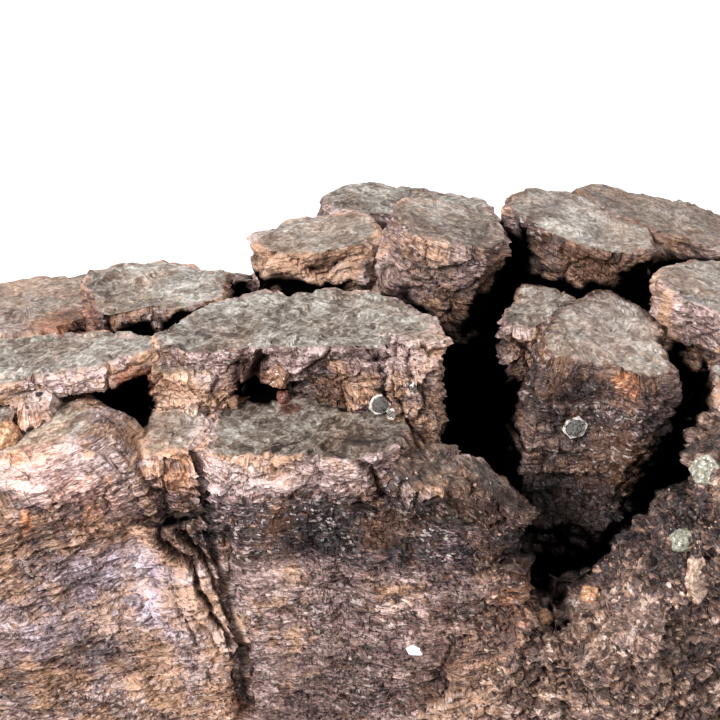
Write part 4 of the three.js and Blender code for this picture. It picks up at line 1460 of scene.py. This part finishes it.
def add_crumb_tree():
    inputs = [
        ("Surface", "Object"),
        ("Per square mm", "Float", 0.5),
        ("Smallest", "Float", 0.12),
        ("Largest", "Float", 0.5),
        ("Seed", "Int", 0),
        ("Finish", "Material"),
    ]
    tree, given = new_tree("Crumbs", "GeometryNodeTree", inputs, [("Crumbs", "Geometry")])

    def drawn(number, kind, low, high):
        """A value drawn at random for each crumb. Each number is a draw of its own."""
        node = add_node(tree, "FunctionNodeRandomValue", {"Seed": given["Seed"] + number}, data_type=kind)
        for socket, value in zip([s for s in node.inputs if s.enabled], (low, high)):
            plug(tree, value, socket)
        return output_in_use(tree, node)

    # Points all over the part of the book that lies in the light.
    shade = add_node(tree, "GeometryNodeInputNamedAttribute", {"Name": "shade"}, data_type="FLOAT")
    in_light = ramp(output_in_use(tree, shade), LIGHT_ENDS, FULL_LIGHT)
    inputs = {
        "Mesh": shape_of(tree, given["Surface"]),
        "Density": given["Per square mm"] * (1 / MM**2) * in_light,
        "Seed": given["Seed"],
    }
    scattered = add_node(tree, "GeometryNodeDistributePointsOnFaces", inputs, distribute_method="RANDOM")

    # A crumb on each point. Most are small, because the share is multiplied with itself.
    share = drawn(1.0, "FLOAT", 0.0, 1.0)
    size = given["Smallest"] + (given["Largest"] - given["Smallest"]) * share * share * share * share
    crumb = add_node(tree, "GeometryNodeMeshIcoSphere", {"Radius": MM, "Subdivisions": 1})
    inputs = {
        "Instance": Wire(tree, crumb.outputs["Mesh"]),
        "Scale": drawn(2.0, "FLOAT_VECTOR", *STRETCH) * size,
        "Rotation": drawn(3.0, "FLOAT_VECTOR", *TURN),
    }
    geometry = passed(Wire(tree, scattered.outputs["Points"]), "GeometryNodeInstanceOnPoints", inputs)
    geometry = stored(geometry, "tint", drawn(4.0, "FLOAT", 0.0, 1.0), domain="INSTANCE")

    # Real corners, chipped, and none of them under the ground.
    geometry = passed(geometry, "GeometryNodeRealizeInstances")
    place = Wire(tree, add_node(tree, "GeometryNodeInputPosition").outputs[0])
    chips = cloudy_vector(place * (1 / MM), 2.0) * CHIPPING
    geometry = passed(geometry, "GeometryNodeSetPosition", {"Offset": chips})
    x, y, z = parts_of(place)
    inputs = {"Position": joined(tree, x, y, highest(z, 0.0))}
    geometry = passed(geometry, "GeometryNodeSetPosition", inputs)
    finish_tree(tree, Crumbs=finished(geometry, given["Finish"]))
    return tree


crumb_tree = add_crumb_tree()
print("the crumb tree has", len(crumb_tree.nodes), "nodes")

# %% Strewing the crumbs
CRUMB_COLOURS = [
    (0.15, (0.022, 0.011, 0.010)),
    (0.45, (0.085, 0.049, 0.040)),
    (0.72, (0.200, 0.122, 0.092)),
    (0.88, (0.370, 0.225, 0.150)),
    (0.96, (0.520, 0.430, 0.390)),
]
CRUMBS = {  # how many per square millimetre, and the radius of the largest before it is stretched, mm
    "right_apron": (2.0, 0.62),
    "right_mound_foot": (2.0, 0.62),
    "right_mound_low": (2.0, 0.62),
    "right_mound_middle": (1.8, 0.66),
    "right_mound_step": (1.6, 0.7),
    "right_mound_high": (1.2, 0.7),
    "front_right_foot": (0.7, 0.5),
    "left_knob": (0.8, 0.5),
    "upper_right_end": (0.4, 0.35),
    "front_right_end": (0.5, 0.4),
    "front_shelf": (0.4, 0.4),
}
SMALLEST = 0.13  # radius of the smallest crumb before it is stretched, mm
FIRST_SEED = 400
SEEDS_EACH = 10  # every book's crumbs use a few seeds in a row


def make_crumb_material():
    """Each crumb has a tint of its own, and crumbs in a clump are alike."""
    material, tree, shader = new_material("crumbs of mica")
    spot = spot_of(tree)
    tint = kept_value(tree, "tint")
    tone = tint * 0.6 + swing(spot, 0.3, 1.3, 3.0, 0.6) + 0.19
    mottle = ramp(noise(spot, 2.5, 3.0), 0.3, 0.7, 0.7, 1.2)
    plug(tree, palette(tone, *CRUMB_COLOURS) * mottle, shader.inputs["Base Color"])
    plug(tree, ramp(tint, 0.0, 1.0, 0.6, 0.4), shader.inputs["Roughness"])
    make_satin(shader)
    return material


def strew_crumbs(name, seed, density, largest):
    values = {
        "Surface": book_pieces[name],
        "Per square mm": density,
        "Smallest": SMALLEST,
        "Largest": largest,
        "Seed": seed,
        "Finish": crumb_material,
    }
    piece = grown(name + "_crumbs", crumb_tree, values, bpy.data.meshes.new(name))
    declare(piece, "mica_book_cluster")
    return len(piece.data.polygons)


crumb_material = make_crumb_material()
seeds = range(FIRST_SEED, FIRST_SEED + SEEDS_EACH * len(CRUMBS), SEEDS_EACH)
faces = [strew_crumbs(name, seed, *CRUMBS[name]) for name, seed in zip(CRUMBS, seeds)]
print("faces on crumbs", faces, "in all", sum(faces))

# %% [markdown]
# ## The stage
#
# The specimen stands on a plain white floor under soft light. A large soft light stands at the upper
# left, so that the left-hand walls are pale and the gaps stay dark. A white sky fills the rest.

# %% Floor and lights
FLOOR_REACH = 3.0  # from the middle to each edge, metres
FLOOR_CORNERS = [(x * FLOOR_REACH, y * FLOOR_REACH, 0) for x, y in ((-1, -1), (1, -1), (1, 1), (-1, 1))]
FLOOR_GREY = 0.9
LIGHT_PLACE = Vector((-0.42, -0.45, 0.36))
LIGHT_AIM = Vector((0, 0, 0.03))
LIGHT_WIDTH = 0.22
LIGHT_POWER = 8.0  # watts
SKY_STRENGTH = 1.05


def add_floor():
    mesh = bpy.data.meshes.new("floor")
    mesh.from_pydata(FLOOR_CORNERS, [], [(0, 1, 2, 3)])
    material, _, shader = new_material("pale floor")
    shader.inputs["Base Color"].default_value = (FLOOR_GREY, FLOOR_GREY, FLOOR_GREY, 1)
    shader.inputs["Roughness"].default_value = 0.9
    mesh.materials.append(material)
    add_object("floor", mesh)


def add_soft_light():
    light = bpy.data.lights.new("key light", "AREA")
    light.shape = "DISK"
    light.size = LIGHT_WIDTH
    light.energy = LIGHT_POWER
    lamp = add_object("key light", light)
    lamp.location = LIGHT_PLACE
    lamp.rotation_euler = (LIGHT_AIM - LIGHT_PLACE).to_track_quat("-Z", "Y").to_euler()


def add_sky():
    world = bpy.data.worlds.new("sky")
    bpy.context.scene.world = world
    world.use_nodes = True
    background = world.node_tree.nodes["Background"]
    background.inputs["Color"].default_value = (1.0, 1.0, 1.0, 1.0)
    background.inputs["Strength"].default_value = SKY_STRENGTH


add_floor()
add_soft_light()
add_sky()
bpy.context.scene.view_settings.view_transform = "Standard"
print("a light of", LIGHT_POWER, "watts and a white sky")
